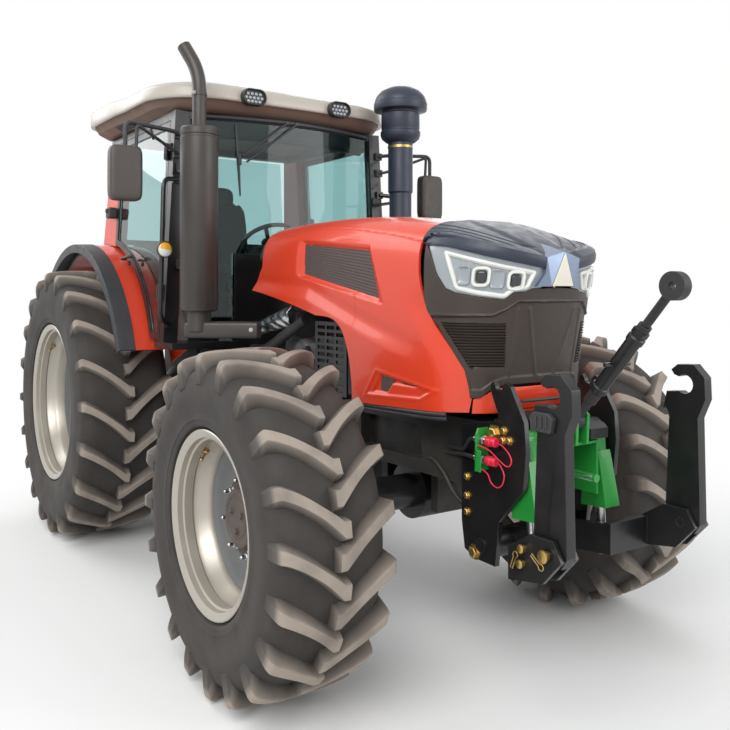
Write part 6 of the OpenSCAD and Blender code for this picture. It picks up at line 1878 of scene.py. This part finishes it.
@dataclass
class Stage:
    """Floor, light and camera."""

    eye: tuple = (6.144, -2.7, 1.769)
    turn: tuple = (90.256, -0.109, 56.592)
    focal_px: float = 816.1
    centre_px: tuple = (345.8, 286.4)
    frame_px: float = 730.0
    sensor: float = 36.0
    clip_end: float = 200.0
    lamps: tuple = (("key", (5.5, -6.0, 6.5), 7.0, 620.0), ("fill", (8.0, 5.0, 4.0), 6.0, 260.0),
                    ("rim", (-6.0, -4.0, 6.0), 6.0, 260.0), ("back", (-5.0, 6.0, 5.0), 6.0, 200.0))
    aim: tuple = (FRONT_X * 0.3, 0.0, 1.2)
    sky_colour: str = "f4f6fa"
    sky_strength: float = 0.62
    floor_size: float = 60.0
    floor_colour: str = "ececea"
    floor_rough: float = 0.9
    fade: tuple = (2.2, 5.5)

    def camera(self) -> None:
        """The camera at the photo's viewing angle, with the shift that its framing needs."""
        data = bpy.data.cameras.new("camera")
        data.sensor_width = self.sensor
        data.lens = self.focal_px / self.frame_px * self.sensor
        data.shift_x = (self.frame_px / 2 - self.centre_px[0]) / self.frame_px
        data.shift_y = (self.centre_px[1] - self.frame_px / 2) / self.frame_px
        data.clip_end = self.clip_end
        camera = added("camera", data)
        camera.location = spot(*self.eye)
        camera.rotation_euler = [math.radians(a) for a in self.turn]
        bpy.context.scene.camera = camera

    def light(self) -> None:
        """Large soft lamps around the tractor, each turned to its middle."""
        for name, place, size, energy in self.lamps:
            data = bpy.data.lights.new(name, "AREA")
            data.shape, data.size, data.energy = "DISK", size, energy
            lamp = added(name, data)
            lamp.visible_transmission = False
            lamp.location = place
            x, y, z = np.array(self.aim) - np.array(place)
            lamp.rotation_euler = (math.atan2(math.hypot(x, y), -z), 0.0, math.atan2(y, x) - math.pi / 2)

    def sky(self) -> None:
        """The world: soft grey light, and plain white for camera, mirror and glass rays."""
        world = bpy.data.worlds.new("sky")
        bpy.context.scene.world = world
        world.use_nodes = True
        w = Wiring(world.node_tree)
        w.tree.nodes.clear()
        soft = w.add("Background", {"Color": linear(self.sky_colour), "Strength": self.sky_strength})
        white = w.add("Background", {"Color": (1.0, 1.0, 1.0, 1.0), "Strength": 1.0})
        mix = w.add("MixShader", {0: self.seen(w), 1: soft.outputs[0], 2: white.outputs[0]})
        w.add("OutputWorld", {0: mix.outputs[0]})

    @staticmethod
    def seen(w: Wiring) -> Socket:
        """A factor of 1 for rays from the camera, a mirror or glass."""
        path = w.add("LightPath")
        last = path.outputs["Is Camera Ray"]
        for key in ("Is Glossy Ray", "Is Transmission Ray"):
            last = w.add("Math", {0: last, 1: path.outputs[key]}, operation="MAXIMUM").outputs[0]
        return last

    def floor(self) -> None:
        """A pale floor that keeps the tractor's shadow and fades to the white of the sky."""
        half = self.floor_size / 2
        mesh = bpy.data.meshes.new("floor")
        mesh.from_pydata([(-half, -half, 0), (half, -half, 0), (half, half, 0), (-half, half, 0)], [],
                         [(0, 1, 2, 3)])
        material = bpy.data.materials.new("pale_floor")
        material.use_nodes = True
        w = Wiring(material.node_tree)
        shader = w.tree.nodes["Principled BSDF"]
        w.feed(shader.inputs["Base Color"], linear(self.floor_colour))
        w.feed(shader.inputs["Roughness"], self.floor_rough)
        away = w.add("VectorMath", {0: w.place()}, operation="LENGTH").outputs["Value"]
        span = w.add("MapRange", {"Value": away, "From Min": self.fade[0], "From Max": self.fade[1]},
                     interpolation_type="SMOOTHSTEP")
        shown = w.product(span.outputs["Result"], self.seen(w))
        mix = w.add("MixShader", {0: shown, 1: shader.outputs[0], 2: w.add("Emission").outputs[0]})
        w.feed(w.tree.nodes["Material Output"].inputs["Surface"], mix.outputs[0])
        mesh.materials.append(material)
        floor = added("floor", mesh)

    def build(self) -> None:
        """Sets the whole stage."""
        self.camera()
        self.light()
        self.sky()
        self.floor()


def plain_nodes() -> None:
    """Dresses the nodes whose solids have the right shape."""
    finishes = {
        BLACK: ("cab_frame", "front_axle", "engine_screens", "fuel_tank", "handrails", "hitch_frame",
                "lift_arms", "claw_right", "claw_left", "door_frame_right", "door_frame_left",
                "knuckle_right", "knuckle_left", "controls", "steering_wheel"),
        IRON: ("front_frame", "radiator", "gearbox", "rear_axle", "steps", "drawbar", "top_link",
               "rear_links", "rear_lift_arms", "rear_lift_rods"),
        RED: ("rear_posts", "fenders"), RUBBER: ("fender_flares",), ENGINE: ("engine",),
        GLASS: ("windscreen", "rear_window", "door_glass_right", "door_glass_left"),
        STEEL: ("steering_rod", "lift_rods"), GREEN: ("pto_guard", "lift_barrels"),
    }
    for finish, nodes in finishes.items():
        for node in nodes:
            refined(node, finish, 0.0 if finish is GLASS else 0.003)


def main() -> None:
    """Sets the stage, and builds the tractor's pieces in order."""
    logging.basicConfig(level=logging.INFO, format="%(message)s")
    bpy.context.scene.view_settings.view_transform = "Standard"
    Stage().build()
    Cords().build()
    for axle in ("front", "rear"):
        for side in SIDES:
            Wheel(axle, side).build()
    HoodSkin().build()
    NoseFace().build()
    Roof().build()
    Cab().build()
    Stacks().build()
    Hitch().build()
    FrontPanel().build()
    EngineBay().build()
    plain_nodes()
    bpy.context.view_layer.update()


if __name__ == "__main__":
    main()
